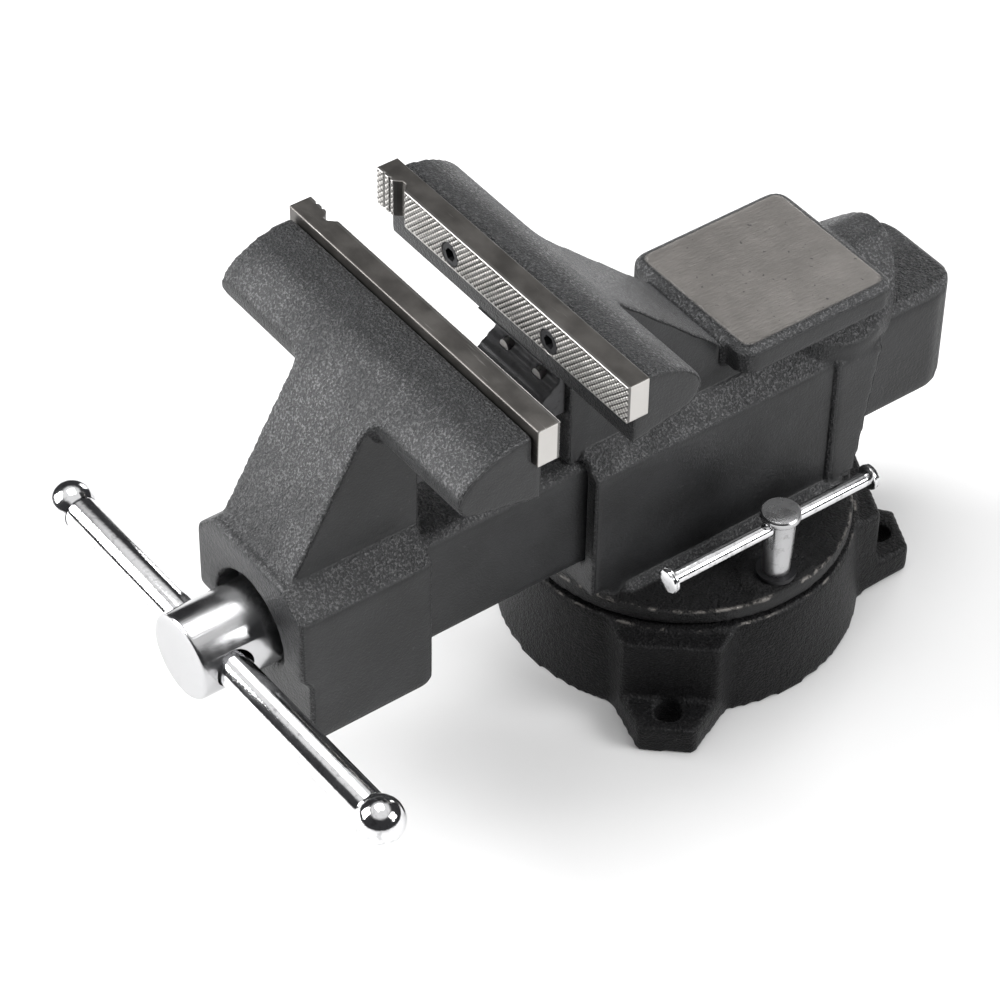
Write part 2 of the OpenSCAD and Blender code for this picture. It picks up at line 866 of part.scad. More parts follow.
module moving_plate_screws() {
    color(dark)
        plate_screws(moving_face_y, -1);
}

module fixed_pipe_jaw() {
    color(dark)
        pinned_pipe_jaw(throat_y, 1, throat_y - fixed_back + ledge_d, 0);
}

module fixed_pipe_jaw_pins() {
    color(steel)
        pipe_pins(throat_y);
}

module moving_pipe_jaw() {
    color(dark)
        pinned_pipe_jaw(moving_throat_y, -1, moving_back + ledge_d - moving_throat_y,
                        moving_ledge_h - fixed_ledge_h);
}

module moving_pipe_jaw_pins() {
    color(steel)
        pipe_pins(moving_throat_y);
}

module spindle_nut() {
    color(steel)
        difference() {
            translate([0, nut_y0, channel_z0])
                linear_extrude(spindle_z + nut_top - channel_z0)
                    round_box(2 * (hollow_x - nut_gap), nut_l, 3);
            rod_y(screw_r + run_gap, nut_y0 - past, nut_y0 + nut_l + past, 0, spindle_z);
            translate([0, nut_y0 + nut_l / 2, channel_z0 - past])
                cylinder(r = nut_bolt_r, h = nut_bolt_top() - channel_z0 + past);
        }
}

// Height of the nut bolt's upper end.
function nut_bolt_top() = spindle_z - screw_r - 3;

module nut_bolt() {
    color(dark)
        translate([0, nut_y0 + nut_l / 2, table_z0 + 0.4])
            difference() {
                union() {
                    cylinder(r = nut_bolt_head_r, h = nut_bolt_head_t - 0.4);
                    cylinder(r = nut_bolt_r, h = nut_bolt_top() - table_z0 - 0.4);
                }
                translate([0, 0, -past])
                    cylinder(r = socket_r * 2, h = socket_deep * 1.5 + past, $fn = 6);
            }
}

module spindle_screw() {
    color(steel)
        difference() {
            union() {
                rod_y(screw_r, recess_y, screw_end, 0, spindle_z);
                rod_y(screw_r - 3, recess_y - head_bore_l, recess_y + past, 0, spindle_z);
            }
            spindle_pin_hole();
            retaining_hole();
        }
}

module spindle_pin_hole() {
    translate([0, recess_y - recess_deep * 0.6, spindle_z - head_r - past])
        cylinder(r = head_pin_r, h = 2 * head_r + 2 * past);
}

module spindle_head() {
    color(chrome)
        difference() {
            translate([0, recess_y - 0.4, spindle_z])
                rotate([90, 0, 0]) {
                    length = recess_y - 0.4 - head_y0;
                    cylinder(r = head_r, h = length - head_chamfer);
                    translate([0, 0, length - head_chamfer])
                        cylinder(r1 = head_r, r2 = head_r - head_chamfer, h = head_chamfer);
                }
            rod_y(screw_r - 3, recess_y - head_bore_l, recess_y + past, 0, spindle_z);
            spindle_pin_hole();
            on_handle()
                translate([-head_r - past, 0, handle_gap - 0.2])
                    rotate([0, 90, 0])
                        cylinder(r = handle_r + handle_gap, h = 2 * head_r + 2 * past);
        }
}

module spindle_head_pin() {
    color(steel)
        translate([0, recess_y - recess_deep * 0.6, spindle_z - head_r + 0.4])
            difference() {
                cylinder(r = head_pin_r, h = 2 * head_r - 0.8);
                translate([0, 0, -past])
                    cylinder(r = head_pin_r - 0.9, h = 2 * head_r + past);
            }
}

module thrust_washer() {
    color(steel)
        difference() {
            rod_y(washer_r, wall_y + 0.1, wall_y + washer_t, 0, spindle_z);
            rod_y(screw_r + run_gap, wall_y - past, wall_y + washer_t + past, 0, spindle_z);
        }
}

module spring_washer() {
    y0 = wall_y + washer_t + spring_l;
    color(steel)
        difference() {
            rod_y(washer_r, y0, y0 + washer_t, 0, spindle_z);
            rod_y(screw_r + run_gap, y0 - past, y0 + washer_t + past, 0, spindle_z);
        }
}

// Points of one ring of the spring's wire, at the turn t.
function wire_ring(t) = let (
    lift = spring_wire + (spring_l - 2 * spring_wire) * t / spring_turns,
    a = 360 * t
) [for (k = [0:spring_sides - 1]) let (
    b = 360 * k / spring_sides, r = spring_r + (spring_wire - 0.05) * cos(b)
) [r * cos(a), r * sin(a), lift + (spring_wire - 0.05) * sin(b)]];

module spindle_spring() {
    rings = spring_turns * spring_steps;
    points = [for (i = [0:rings]) each wire_ring(i / spring_steps)];
    start = [for (k = [0:spring_sides - 1]) k];
    finish = [for (k = [spring_sides - 1:-1:0]) rings * spring_sides + k];
    sides = [for (i = [0:rings - 1]) for (k = [0:spring_sides - 1])
        let (n = (k + 1) % spring_sides, a = i * spring_sides)
        each [[a + k, a + spring_sides + k, a + n],
              [a + n, a + spring_sides + k, a + spring_sides + n]]];
    color(steel)
        translate([0, wall_y + washer_t, spindle_z])
            rotate([-90, 0, 0])
                polyhedron(points = points, faces = concat([start], [finish], sides));
}

module retaining_hole() {
    translate([-pin_l / 2 - past, retaining_y(), spindle_z])
        rotate([0, 90, 0])
            cylinder(r = pin_r, h = pin_l + 2 * past);
}

// Place of the retaining pin, against the spring washer.
function retaining_y() = wall_y + 2 * washer_t + spring_l + pin_r;

module retaining_pin() {
    color(steel)
        translate([-pin_l / 2, retaining_y(), spindle_z])
            rotate([0, 90, 0])
                cylinder(r = pin_r, h = pin_l);
}

// Frame of the handle: x along the bar, with its tilt.
module on_handle() {
    translate([0, handle_y, spindle_z])
        rotate([0, -handle_tilt, 0])
            translate([0, 0, -handle_gap + 0.2])
                children();
}

module handle_bar() {
    half = handle_l / 2 - ball_socket;
    color(chrome)
        on_handle()
            translate([handle_off - half, 0, 0])
                rotate([0, 90, 0])
                    cylinder(r = handle_r, h = 2 * half);
}

// A ball on one end of the handle; side is 1 or -1.
module handle_ball(side) {
    color(chrome)
        on_handle()
            translate([handle_off, 0, 0])
                rotate([0, side * 90, 0])
                    difference() {
                        translate([0, 0, handle_l / 2])
                            sphere(r = ball_r);
                        cylinder(r = handle_r, h = handle_l / 2 - ball_socket);
                    }
}

module handle_ball_left() {
    handle_ball(-1);
}

module handle_ball_right() {
    handle_ball(1);
}

// Frame of a lock bolt; side is 1 for +X and -1 for -X.
module at_lock(side) {
    translate([side * lock_at, 0, table_z1 + lock_pad_t])
        children();
}

// Height of the cross bar above the washer's seat.
function lock_bar_h() = lock_h - lock_pad_t - lock_bar_drop;

module lock_bolt(side) {
    top = lock_h - lock_pad_t;
    reach = table_z1 + lock_pad_t - (base_h - slot_lip - tee_deep) - 3;
    color(chrome)
        at_lock(side)
            difference() {
                union() {
                    translate([0, 0, top - lock_disc_t])
                        cylinder(r = lock_head_r, h = lock_disc_t);
                    translate([0, 0, lock_washer_t])
                        cylinder(r1 = lock_foot_r, r2 = lock_neck_r,
                                 h = top - lock_disc_t - lock_washer_t);
                    translate([0, 0, -reach])
                        cylinder(r = lock_r, h = reach + lock_washer_t + past);
                }
                rod_y(lock_bar_r + 2 * run_gap, -lock_head_r - past, lock_head_r + past,
                      0, lock_bar_h());
            }
}

module lock_washer(side) {
    color(dark)
        at_lock(side)
            difference() {
                cylinder(r = lock_head_r, h = lock_washer_t - 0.1);
                translate([0, 0, -past])
                    cylinder(r = lock_r + screw_play * 3, h = lock_washer_t + 2 * past);
            }
}

// Cross bar; slid is its offset towards the handle.
module lock_bar(side, slid) {
    half = lock_bar_l / 2 - lock_cap_t;
    color(chrome)
        at_lock(side)
            rod_y(lock_bar_r, -slid - half, -slid + half, 0, lock_bar_h());
}

module lock_bar_caps(side, slid) {
    half = lock_bar_l / 2 - lock_cap_t;
    color(chrome)
        at_lock(side)
            for (end = [0, 1])
                translate([0, -slid, lock_bar_h()])
                    mirror([0, end, 0]) {
                        rod_y(lock_cap_r, half, half + lock_cap_t - lock_rim_t);
                        rod_y(lock_cap_r - 0.5, half + lock_cap_t - lock_rim_t,
                              half + lock_cap_t);
                    }
}

// Tee nut in the base's slot, curved to suit it.
module tee_nut(side) {
    tee_z1 = base_h - slot_lip - swivel_gap;
    color(steel)
        mirror([side > 0 ? 0 : 1, 0, 0])
            difference() {
                intersection() {
                    union() {
                        ring(lock_at - tee_in + swivel_gap, lock_at + tee_out - swivel_gap,
                             tee_z1 - tee_flange_t, tee_z1);
                        ring(lock_at - slot_half + swivel_gap, lock_at + slot_half - swivel_gap,
                             tee_z1 - past, base_h - tee_neck_top);
                    }
                    translate([0, -tee_len / 2, 0])
                        cube([base_r, tee_len, base_h]);
                }
                translate([lock_at, 0, 0])
                    cylinder(r = lock_r + run_gap, h = base_h + past);
            }
}

module lock_bolt_right() {
    lock_bolt(1);
}

module lock_washer_right() {
    lock_washer(1);
}

module lock_bar_right() {
    lock_bar(1, lock_bar_off);
}

module lock_bar_caps_right() {
    lock_bar_caps(1, lock_bar_off);
}

module tee_nut_right() {
    tee_nut(1);
}

module lock_bolt_left() {
    lock_bolt(-1);
}

module lock_washer_left() {
    lock_washer(-1);
}

module lock_bar_left() {
    lock_bar(-1, 0);
}

module lock_bar_caps_left() {
    lock_bar_caps(-1, 0);
}

module tee_nut_left() {
    tee_nut(-1);
}

swivel_base();
body_casting();
moving_jaw_casting();
fixed_jaw_plate();
fixed_plate_screws();
fixed_pipe_jaw();
fixed_pipe_jaw_pins();
moving_jaw_plate();
moving_plate_screws();
moving_pipe_jaw();
moving_pipe_jaw_pins();
spindle_nut();
nut_bolt();
spindle_screw();
spindle_head();
spindle_head_pin();
thrust_washer();
spindle_spring();
spring_washer();
retaining_pin();
handle_bar();
handle_ball_left();
handle_ball_right();
lock_bolt_right();
lock_washer_right();
lock_bar_right();
lock_bar_caps_right();
tee_nut_right();
lock_bolt_left();
lock_washer_left();
lock_bar_left();
lock_bar_caps_left();
tee_nut_left();
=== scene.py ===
"""Bench vise on a swivel base: finished pieces, materials and studio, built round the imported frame."""

import math

import bmesh
import bpy
from mathutils import Matrix, Vector


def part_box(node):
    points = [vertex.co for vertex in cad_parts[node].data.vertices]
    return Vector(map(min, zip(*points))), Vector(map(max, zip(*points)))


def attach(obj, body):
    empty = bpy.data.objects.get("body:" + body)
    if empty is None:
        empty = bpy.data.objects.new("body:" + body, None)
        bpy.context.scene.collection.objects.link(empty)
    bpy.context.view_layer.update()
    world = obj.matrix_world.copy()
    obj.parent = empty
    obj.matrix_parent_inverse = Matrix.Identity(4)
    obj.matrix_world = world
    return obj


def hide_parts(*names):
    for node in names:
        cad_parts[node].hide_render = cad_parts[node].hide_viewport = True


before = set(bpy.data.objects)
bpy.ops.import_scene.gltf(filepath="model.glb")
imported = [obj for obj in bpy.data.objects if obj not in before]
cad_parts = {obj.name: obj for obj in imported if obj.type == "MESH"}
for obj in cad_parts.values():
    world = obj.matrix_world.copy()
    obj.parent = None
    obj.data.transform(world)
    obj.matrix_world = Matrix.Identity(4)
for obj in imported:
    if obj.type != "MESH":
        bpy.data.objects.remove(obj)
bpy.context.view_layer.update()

bl_info = {
    "name": "Bench vise",
    "version": (1, 0, 0),
    "blender": (4, 5, 0),
    "location": "3D View > Sidebar > Vise",
    "description": "Builds the finished pieces of a swivel-base bench vise",
    "category": "Mesh",
}

MM = 0.001
QUARTER_TURN = math.radians(90)


def middle(node):
    """Centre of a CAD node's box."""
    low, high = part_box(node)
    return (low + high) / 2


def half_size(node):
    """Half the lengths of a CAD node's box."""
    low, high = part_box(node)
    return (high - low) / 2


# Bare top of the anvil: its corners and its height
ANVIL_LOW = (-34.2 * MM, -1.4 * MM)
ANVIL_HIGH = (34.2 * MM, 70.4 * MM)
ANVIL_Z = 149.6 * MM

# Rubbed rims: the turntable's stands this far above the base's top
TABLE_RIM_RISE = 7.9 * MM
TABLE_RIM_R = 68.6 * MM
BASE_RIM_R = 70.3 * MM
TABLE_PAINT_RISE = 2.2 * MM

# Axes of the spindle and of the sliding handle
SPINDLE_Z = middle("spindle_screw").z
HANDLE_Y = middle("handle_bar").y
HANDLE_R = half_size("handle_bar").y
LEFT_BALL, RIGHT_BALL = middle("handle_ball_left"), middle("handle_ball_right")
HANDLE_TILT = math.atan2(RIGHT_BALL.z - LEFT_BALL.z, RIGHT_BALL.x - LEFT_BALL.x)

# Clearance of the handle and of the lock bars in their holes
HANDLE_PLAY = 1.2 * MM
LOCK_BAR_PLAY = 0.16 * MM

# Points closer than this are one point, and a radius under this lies on the axis
WELD = 0.002 * MM
ON_AXIS = 0.0001 * MM

# Studio: name, place, size and power of each lamp, the floor and sky, and the camera's place, its azimuth,
# elevation and roll in degrees, and its lens
LAMPS = (
    ("overhead_light", (-0.35, 0.0, 2.2), 1.2, 22.0),
    ("right_light", (1.15, 0.75, 0.98), 0.8, 20.0),
    ("front_light", (-0.85, -1.2, 0.85), 0.9, 42.0),
    ("back_light", (-0.9, 1.5, 0.6), 0.6, 8.0),
)
LAMP_TARGET = (0.0, -0.05, 0.1)
FLOOR_HALF = 4.0
SKY_DARK, SKY_BRIGHT = (0.045, 0.045, 0.048), (1.0, 1.0, 1.0)
SKY_STRENGTH = 0.9
CAMERA_PLACE = (0.8537, -0.7369, 1.0998)
CAMERA_ANGLES = (52.85, 43.16, 1.03)
CAMERA_LENS = 139.3


# --- sizes and colours -----------------------------------------------------


def length(name, description, default):
    """A size in metres that a user may change."""
    return bpy.props.FloatProperty(name=name, description=description, default=default, min=0.0,
                                   subtype="DISTANCE", unit="LENGTH", precision=5)


def colour(name, description, default):
    """A colour that a user may change."""
    return bpy.props.FloatVectorProperty(name=name, description=description, default=default, size=3,
                                         min=0.0, max=1.0, subtype="COLOR")


class ViseSizes(bpy.types.PropertyGroup):
    """Sizes of the finish on the vise."""

    skin: length("Casting skin", "Voxel size of the softened castings", 1.5 * MM)
    small_skin: length("Plate skin", "Voxel size of the jaw plates", 0.42 * MM)
    serration_pitch: length("Serration pitch", "Distance between the grooves of a jaw plate", 2.6 * MM)
    serration_depth: length("Serration depth", "Depth of the grooves of a jaw plate", 0.7 * MM)
    thread_lead: length("Thread lead", "Advance of the spindle in one turn", 5.08 * MM)
    thread_depth: length("Thread depth", "Depth of the spindle's thread", 1.9 * MM)
    edge: length("Broken edge", "Width of the broken edges of turned parts", 0.45 * MM)
    grain: length("Casting grain", "Size of the grains in the rough paint", 0.95 * MM)


class ViseColours(bpy.types.PropertyGroup):
    """Colours of the finishes."""

    paint: colour("Body paint", "Charcoal paint of the jaws and housing", (0.014, 0.0145, 0.0155))
    # Colour of the painted glints: the specks follow the real cast grain, but their lightness is a painted
    # highlight.
    paint_glint: colour("Painted glint", "Lighter grains in the rough paint", (0.23, 0.231, 0.235))
    base_paint: colour("Base paint", "Near-black paint of the base", (0.004, 0.004, 0.0045))
    ground: colour("Ground steel", "Ground tops of anvil and plates", (0.25, 0.236, 0.222))
    bright: colour("Bright steel", "Freshly cut steel", (0.56, 0.545, 0.525))
    oxide: colour("Black oxide", "Blackened steel", (0.025, 0.025, 0.027))
    tooth: colour("Tooth steel", "Darkened steel of the pipe jaws", (0.06, 0.06, 0.062))
    valley: colour("Groove dirt", "Bottoms of the grooves in a jaw plate", (0.14, 0.136, 0.131))
    plating: colour("Plating", "Chrome plating", (0.78, 0.78, 0.79))
    iron: colour("Bare iron", "Unpainted cast iron", (0.15, 0.145, 0.14))
    dust: colour("Dust", "Dust on the paint", (0.3, 0.3, 0.3))
    grime: colour("Grime", "Grime on the teeth of the jaw plates", (0.2, 0.2, 0.2))
    pit: colour("Pits", "Pits in the ground anvil", (0.05, 0.05, 0.05))
    floor: colour("Floor", "Studio floor", (0.74, 0.74, 0.74))


def sizes():
    return bpy.context.scene.vise_sizes


def colours():
    return bpy.context.scene.vise_colours


def scaled(tint, factor):
    """A colour made darker or lighter."""
    return tuple(factor * part for part in tint)


def rgba(tint):
    """A colour as a socket takes it."""
    return (tint[0], tint[1], tint[2], 1.0)


# --- node trees ------------------------------------------------------------


def add_node(tree, kind, inputs=None, **props):
    """Adds a node, sets its properties, then sets or links its inputs."""
    node = tree.nodes.new(kind)
    for key, value in props.items():
        setattr(node, key, value)
    fill(tree, node, inputs or {})
    return node


def fill(tree, node, inputs):
    """Sets or links a node's inputs."""
    for key, value in inputs.items():
        socket = node.inputs[key]
        if isinstance(value, bpy.types.NodeSocket):
            tree.links.new(value, socket)
        else:
            socket.default_value = value


def math_node(tree, operation, *values, clamp=False):
    """A Math node's result."""
    node = add_node(tree, "ShaderNodeMath", dict(enumerate(values)), operation=operation, use_clamp=clamp)
    return node.outputs[0]


def plus(tree, first, second):
    return math_node(tree, "ADD", first, second)


def minus(tree, first, second):
    return math_node(tree, "SUBTRACT", first, second)


def times(tree, first, second, clamp=False):
    return math_node(tree, "MULTIPLY", first, second, clamp=clamp)


def over(tree, first, second):
    return math_node(tree, "DIVIDE", first, second)


def larger(tree, first, second):
    return math_node(tree, "MAXIMUM", first, second)


def absolute(tree, value):
    return math_node(tree, "ABSOLUTE", value)


def opposite(tree, mask):
    """1 where a mask is 0, and 0 where it is 1."""
    return minus(tree, 1.0, mask)


def distance(tree, first, second):
    """Length of the long side of a right triangle."""
    return math_node(tree, "SQRT", plus(tree, times(tree, first, first), times(tree, second, second)))


def triangle(tree, phase):
    """A wave that rises from 0 to 1 and falls back over one unit of phase."""
    return times(tree, math_node(tree, "PINGPONG", phase, 0.5), 2.0)


def parts_of(tree, vector):
    """The three parts of a vector."""
    return add_node(tree, "ShaderNodeSeparateXYZ", {0: vector}).outputs


def vector_of(tree, parts):
    """A vector with the given parts, and 0 for the others."""
    return add_node(tree, "ShaderNodeCombineXYZ", parts).outputs[0]


def ramp(tree, value, low, high):
    """0 below low, 1 above high, and smooth between them."""
    takes = {"Value": value, "From Min": low, "From Max": high, "To Min": 0.0, "To Max": 1.0}
    return add_node(tree, "ShaderNodeMapRange", takes, interpolation_type="SMOOTHSTEP").outputs["Result"]


def mix_colour(tree, factor, first, second):
    """Mixes two colours by a mask."""
    return add_node(tree, "ShaderNodeMix", {0: factor, 6: first, 7: second}, data_type="RGBA").outputs[2]


def mix_value(tree, factor, first, second):
    """Mixes two numbers by a mask."""
    return add_node(tree, "ShaderNodeMix", {0: factor, 2: first, 3: second}, data_type="FLOAT").outputs[0]


def noise(tree, vector, scale, detail, roughness):
    """A Noise texture's value."""
    takes = {"Vector": vector, "Scale": scale, "Detail": detail, "Roughness": roughness}
    return add_node(tree, "ShaderNodeTexNoise", takes).outputs[0]


def new_group(name, kind, takes, gives):
    """An empty node group with named inputs (name, type, default) and outputs (name, type)."""
    tree = bpy.data.node_groups.new(name, kind)
    for label, socket_type, default in takes:
        socket = tree.interface.new_socket(label, in_out="INPUT", socket_type=socket_type)
        if default is not None:
            socket.default_value = default
    for label, socket_type in gives:
        tree.interface.new_socket(label, in_out="OUTPUT", socket_type=socket_type)
    start = tree.nodes.new("NodeGroupInput")
    finish = tree.nodes.new("NodeGroupOutput")
    return tree, start.outputs, finish.inputs


def use_group(tree, name, inputs):
    """Places a shader group and returns its outputs."""
    node = tree.nodes.new("ShaderNodeGroup")
    node.node_tree = bpy.data.node_groups[name]
    fill(tree, node, inputs)
    return node.outputs


FLOAT, VECTOR = "NodeSocketFloat", "NodeSocketVector"


def make_grain_group():
    """Sand-cast grain under paint: a height, and a mask for painted glints, a painted highlight on the grains
    that would catch the light.
    """
    tree, given, wanted = new_group(
        "Cast grain", "ShaderNodeTree",
        [("Vector", VECTOR, None), ("Grain", FLOAT, 1.1 * MM)],
        [("Height", FLOAT), ("Specks", FLOAT)],
    )
    scale = over(tree, 1.0, given["Grain"])
    fine = noise(tree, given["Vector"], scale, 3.0, 0.65)
    lumps = noise(tree, given["Vector"], times(tree, scale, 0.32), 2.0, 0.5)
    cells = add_node(tree, "ShaderNodeTexVoronoi", {"Vector": given["Vector"], "Scale": scale})
    height = plus(tree, times(tree, fine, 0.9), times(tree, lumps, 0.8))
    height = minus(tree, height, times(tree, cells.outputs["Distance"], 0.35))
    tree.links.new(height, wanted["Height"])
    tree.links.new(ramp(tree, fine, 0.50, 0.64), wanted["Specks"])


def make_wear_group():
    """Patches of a chosen size, for rubbed and chipped places."""
    tree, given, wanted = new_group(
        "Worn patches", "ShaderNodeTree",
        [("Vector", VECTOR, None), ("Size", FLOAT, 4 * MM), ("Share", FLOAT, 0.5), ("Softness", FLOAT, 0.05)],
        [("Mask", FLOAT)],
    )
    spread = noise(tree, given["Vector"], over(tree, 1.0, given["Size"]), 6.0, 0.62)
    level = minus(tree, 0.74, times(tree, given["Share"], 0.48))
    low = minus(tree, level, given["Softness"])
    high = plus(tree, level, given["Softness"])
    tree.links.new(ramp(tree, spread, low, high), wanted["Mask"])


def make_box_group():
    """1 inside a box in object coordinates, with a soft edge."""
    tree, given, wanted = new_group(
        "Box mask", "ShaderNodeTree",
        [("Vector", VECTOR, None), ("Centre", VECTOR, None), ("Half", VECTOR, None),
         ("Soft", FLOAT, 0.3 * MM)],
        [("Mask", FLOAT)],
    )
    away = given["Vector"]
    for operation, other in (("SUBTRACT", "Centre"), ("ABSOLUTE", None), ("SUBTRACT", "Half")):
        takes = {0: away, 1: given[other]} if other else {0: away}
        away = add_node(tree, "ShaderNodeVectorMath", takes, operation=operation).outputs[0]
    part = parts_of(tree, away)
    most = larger(tree, larger(tree, part[0], part[1]), part[2])
    inside = opposite(tree, ramp(tree, over(tree, most, given["Soft"]), -1.0, 0.0))
    tree.links.new(inside, wanted["Mask"])


def make_rim_group():
    """1 near a circle about the Z axis, such as the rim of a turntable."""
    tree, given, wanted = new_group(
        "Rim mask", "ShaderNodeTree",
        [("Vector", VECTOR, None), ("Radius", FLOAT, 70 * MM), ("Height", FLOAT, 50 * MM),
         ("Width", FLOAT, MM)],
        [("Mask", FLOAT)],
    )
    part = parts_of(tree, given["Vector"])
    outward = minus(tree, distance(tree, part[0], part[1]), given["Radius"])
    upward = minus(tree, part[2], given["Height"])
    far = over(tree, distance(tree, outward, upward), given["Width"])
    tree.links.new(opposite(tree, ramp(tree, far, 0.35, 1.0)), wanted["Mask"])


def make_brush_group():
    """Fine parallel marks of a grinding wheel or lathe, with a few longer scratches."""
    tree, given, wanted = new_group(
        "Tool marks", "ShaderNodeTree",
        [("Vector", VECTOR, None), ("Stretch", VECTOR, (1.0, 1.0, 1.0)), ("Spacing", FLOAT, 0.4 * MM)],
        [("Height", FLOAT), ("Scratches", FLOAT)],
    )
    scale = over(tree, 1.0, given["Spacing"])
    takes = {"Vector": given["Vector"], "Scale": given["Stretch"]}
    drawn = add_node(tree, "ShaderNodeMapping", takes).outputs[0]
    takes = {"Vector": drawn, "Rotation": (0.0, 0.0, 0.35)}
    askew = add_node(tree, "ShaderNodeMapping", takes).outputs[0]
    long_marks = noise(tree, askew, times(tree, scale, 0.22), 4.0, 0.7)
    tree.links.new(noise(tree, drawn, scale, 2.0, 0.6), wanted["Height"])
    tree.links.new(ramp(tree, long_marks, 0.6, 0.72), wanted["Scratches"])


# --- materials -------------------------------------------------------------


def new_material(name):
    """A new material's tree, its Principled shader, and its Texture Coordinate node."""
    material = bpy.data.materials.new(name)
    material.use_nodes = True
    tree = material.node_tree
    return tree, tree.nodes["Principled BSDF"], tree.nodes.new("ShaderNodeTexCoord")


def finish_shader(tree, shader, tint, shine, height, strength, depth):
    """Feeds colour, roughness and bump into the shader."""
    relief = add_node(tree, "ShaderNodeBump", {"Height": height, "Strength": strength, "Distance": depth})
    tree.links.new(tint, shader.inputs["Base Color"])
    tree.links.new(shine, shader.inputs["Roughness"])
    tree.links.new(relief.outputs[0], shader.inputs["Normal"])


def patches(tree, spot, size, share, softness):
    """Mask of worn patches: their size, the share of the surface they take, and how soft they end."""
    return use_group(tree, "Worn patches",
                     {"Vector": spot, "Size": size, "Share": share, "Softness": softness})["Mask"]


def tool_marks(tree, spot, stretch, spacing):
    """Height and scratches of a ground or turned surface."""
    return use_group(tree, "Tool marks", {"Vector": spot, "Stretch": stretch, "Spacing": spacing})


def roughness_of_cast(tree, facing, smooth_sides):
    """How rough the casting is, from the way it faces: sides and front may be smoother."""
    if not smooth_sides:
        return plus(tree, 0.45, times(tree, ramp(tree, facing[2], 0.2, 0.9), 0.4))
    across = larger(tree, absolute(tree, facing[0]), times(tree, facing[1], -0.93))
    return opposite(tree, ramp(tree, across, 0.80, 0.97))


def bare_places(tree, spot, boxes, rims):
    """Mask of the machined boxes and the chipped rims, or None where the paint is whole."""
    masks = []
    for low, high in boxes:
        low, high = Vector(low), Vector(high)
        masks.append(use_group(tree, "Box mask", {"Vector": spot, "Centre": tuple((low + high) / 2),
                                                  "Half": tuple((high - low) / 2)})["Mask"])
    if rims:
        chips = patches(tree, spot, 6 * MM, 0.42, 0.05)
        for radius, height, width in rims:
            rim = use_group(tree, "Rim mask",
                            {"Vector": spot, "Radius": radius, "Height": height, "Width": width})["Mask"]
            masks.append(times(tree, rim, chips))
    bare = None
    for mask in masks:
        bare = mask if bare is None else larger(tree, bare, mask)
    return bare


def ground_iron(tree, spot):
    """Colour and height of a casting's machined surface."""
    pick = colours()
    marks = tool_marks(tree, spot, (1.0, 0.2, 1.0), 0.7 * MM)
    tone = patches(tree, spot, 20 * MM, 0.5, 0.25)
    pits = patches(tree, spot, 3 * MM, 0.16, 0.03)
    iron = mix_colour(tree, tone, rgba(scaled(pick.ground, 0.72)), rgba(pick.ground))
    iron = mix_colour(tree, times(tree, marks["Scratches"], 0.10), iron, rgba(pick.bright))
    iron = mix_colour(tree, times(tree, pits, 0.8), iron, rgba(pick.pit))
    return iron, times(tree, marks["Height"], 0.12)


def cast_paint(name, paint, glint_colour, bare_boxes=(), rims=(), smooth_sides=True, black_below=None,
               specular=0.36):
    """Paint over sand-cast iron, with painted glints on the grain where the casting is rough, most of all on
    upward slopes, which also get a painted highlight of their own.

    bare_boxes holds the corners of machined places, and rims the radius, height and width of circles where
    the paint is chipped. Under the height black_below the paint is the base's.
    """
    pick = colours()
    tree, shader, where = new_material(name)
    spot = where.outputs["Object"]
    facing = parts_of(tree, where.outputs["Normal"])
    rough = roughness_of_cast(tree, facing, smooth_sides)
    cast = use_group(tree, "Cast grain", {"Vector": spot, "Grain": sizes().grain})
    cloud = patches(tree, spot, 30 * MM, 0.5, 0.2)
    dust = patches(tree, spot, 2.2 * MM, 0.12, 0.02)
    # Painted highlight: faces that slope upward near 45 degrees are painted lighter and get more glints.
    leaning = larger(tree, absolute(tree, facing[0]), absolute(tree, facing[1]))
    slope_highlight = ramp(tree, times(tree, leaning, facing[2]), 0.25, 0.48)
    # Painted glints: grain specks made lighter as a painted highlight, most of all on upward slopes.
    grain_glints = times(tree, cast["Specks"], rough)
    grain_glints = times(tree, grain_glints, plus(tree, 0.55, times(tree, cloud, 0.5)))
    grain_glints = times(tree, grain_glints, plus(tree, 0.42, slope_highlight), clamp=True)
    coat = mix_colour(tree, rough, rgba(scaled(paint, 0.5)), rgba(paint))
    # Painted highlight: upward slopes are mixed a quarter of the way toward the glint colour.
    coat = mix_colour(tree, times(tree, slope_highlight, 0.25), coat, rgba(glint_colour))
    coat = mix_colour(tree, grain_glints, coat, rgba(glint_colour))
    faded = tuple(min(1.0, 1.35 * part + 0.004) for part in paint)
    coat = mix_colour(tree, times(tree, cloud, 0.6), coat, rgba(faded))
    coat = mix_colour(tree, times(tree, dust, 0.10), coat, rgba(pick.dust))
    shine = mix_value(tree, grain_glints, mix_value(tree, rough, 0.38, 0.48), 0.25)
    height = times(tree, cast["Height"], plus(tree, 0.10, rough))
    if black_below is not None:
        up = parts_of(tree, spot)[2]
        lower = opposite(tree, ramp(tree, up, black_below - 0.6 * MM, black_below + 0.6 * MM))
        coat = mix_colour(tree, lower, coat, rgba(pick.base_paint))
        shine = mix_value(tree, lower, shine, 0.5)
    bare = bare_places(tree, spot, bare_boxes, rims)
    if bare is not None:
        iron, marks = ground_iron(tree, spot)
        coat = mix_colour(tree, bare, coat, iron)
        shine = mix_value(tree, bare, shine, 0.46)
        height = mix_value(tree, bare, height, marks)
        tree.links.new(times(tree, bare, 0.85), shader.inputs["Metallic"])
    shader.inputs["Specular IOR Level"].default_value = specular
    finish_shader(tree, shader, coat, shine, height, 1.0, 1.6 * MM)


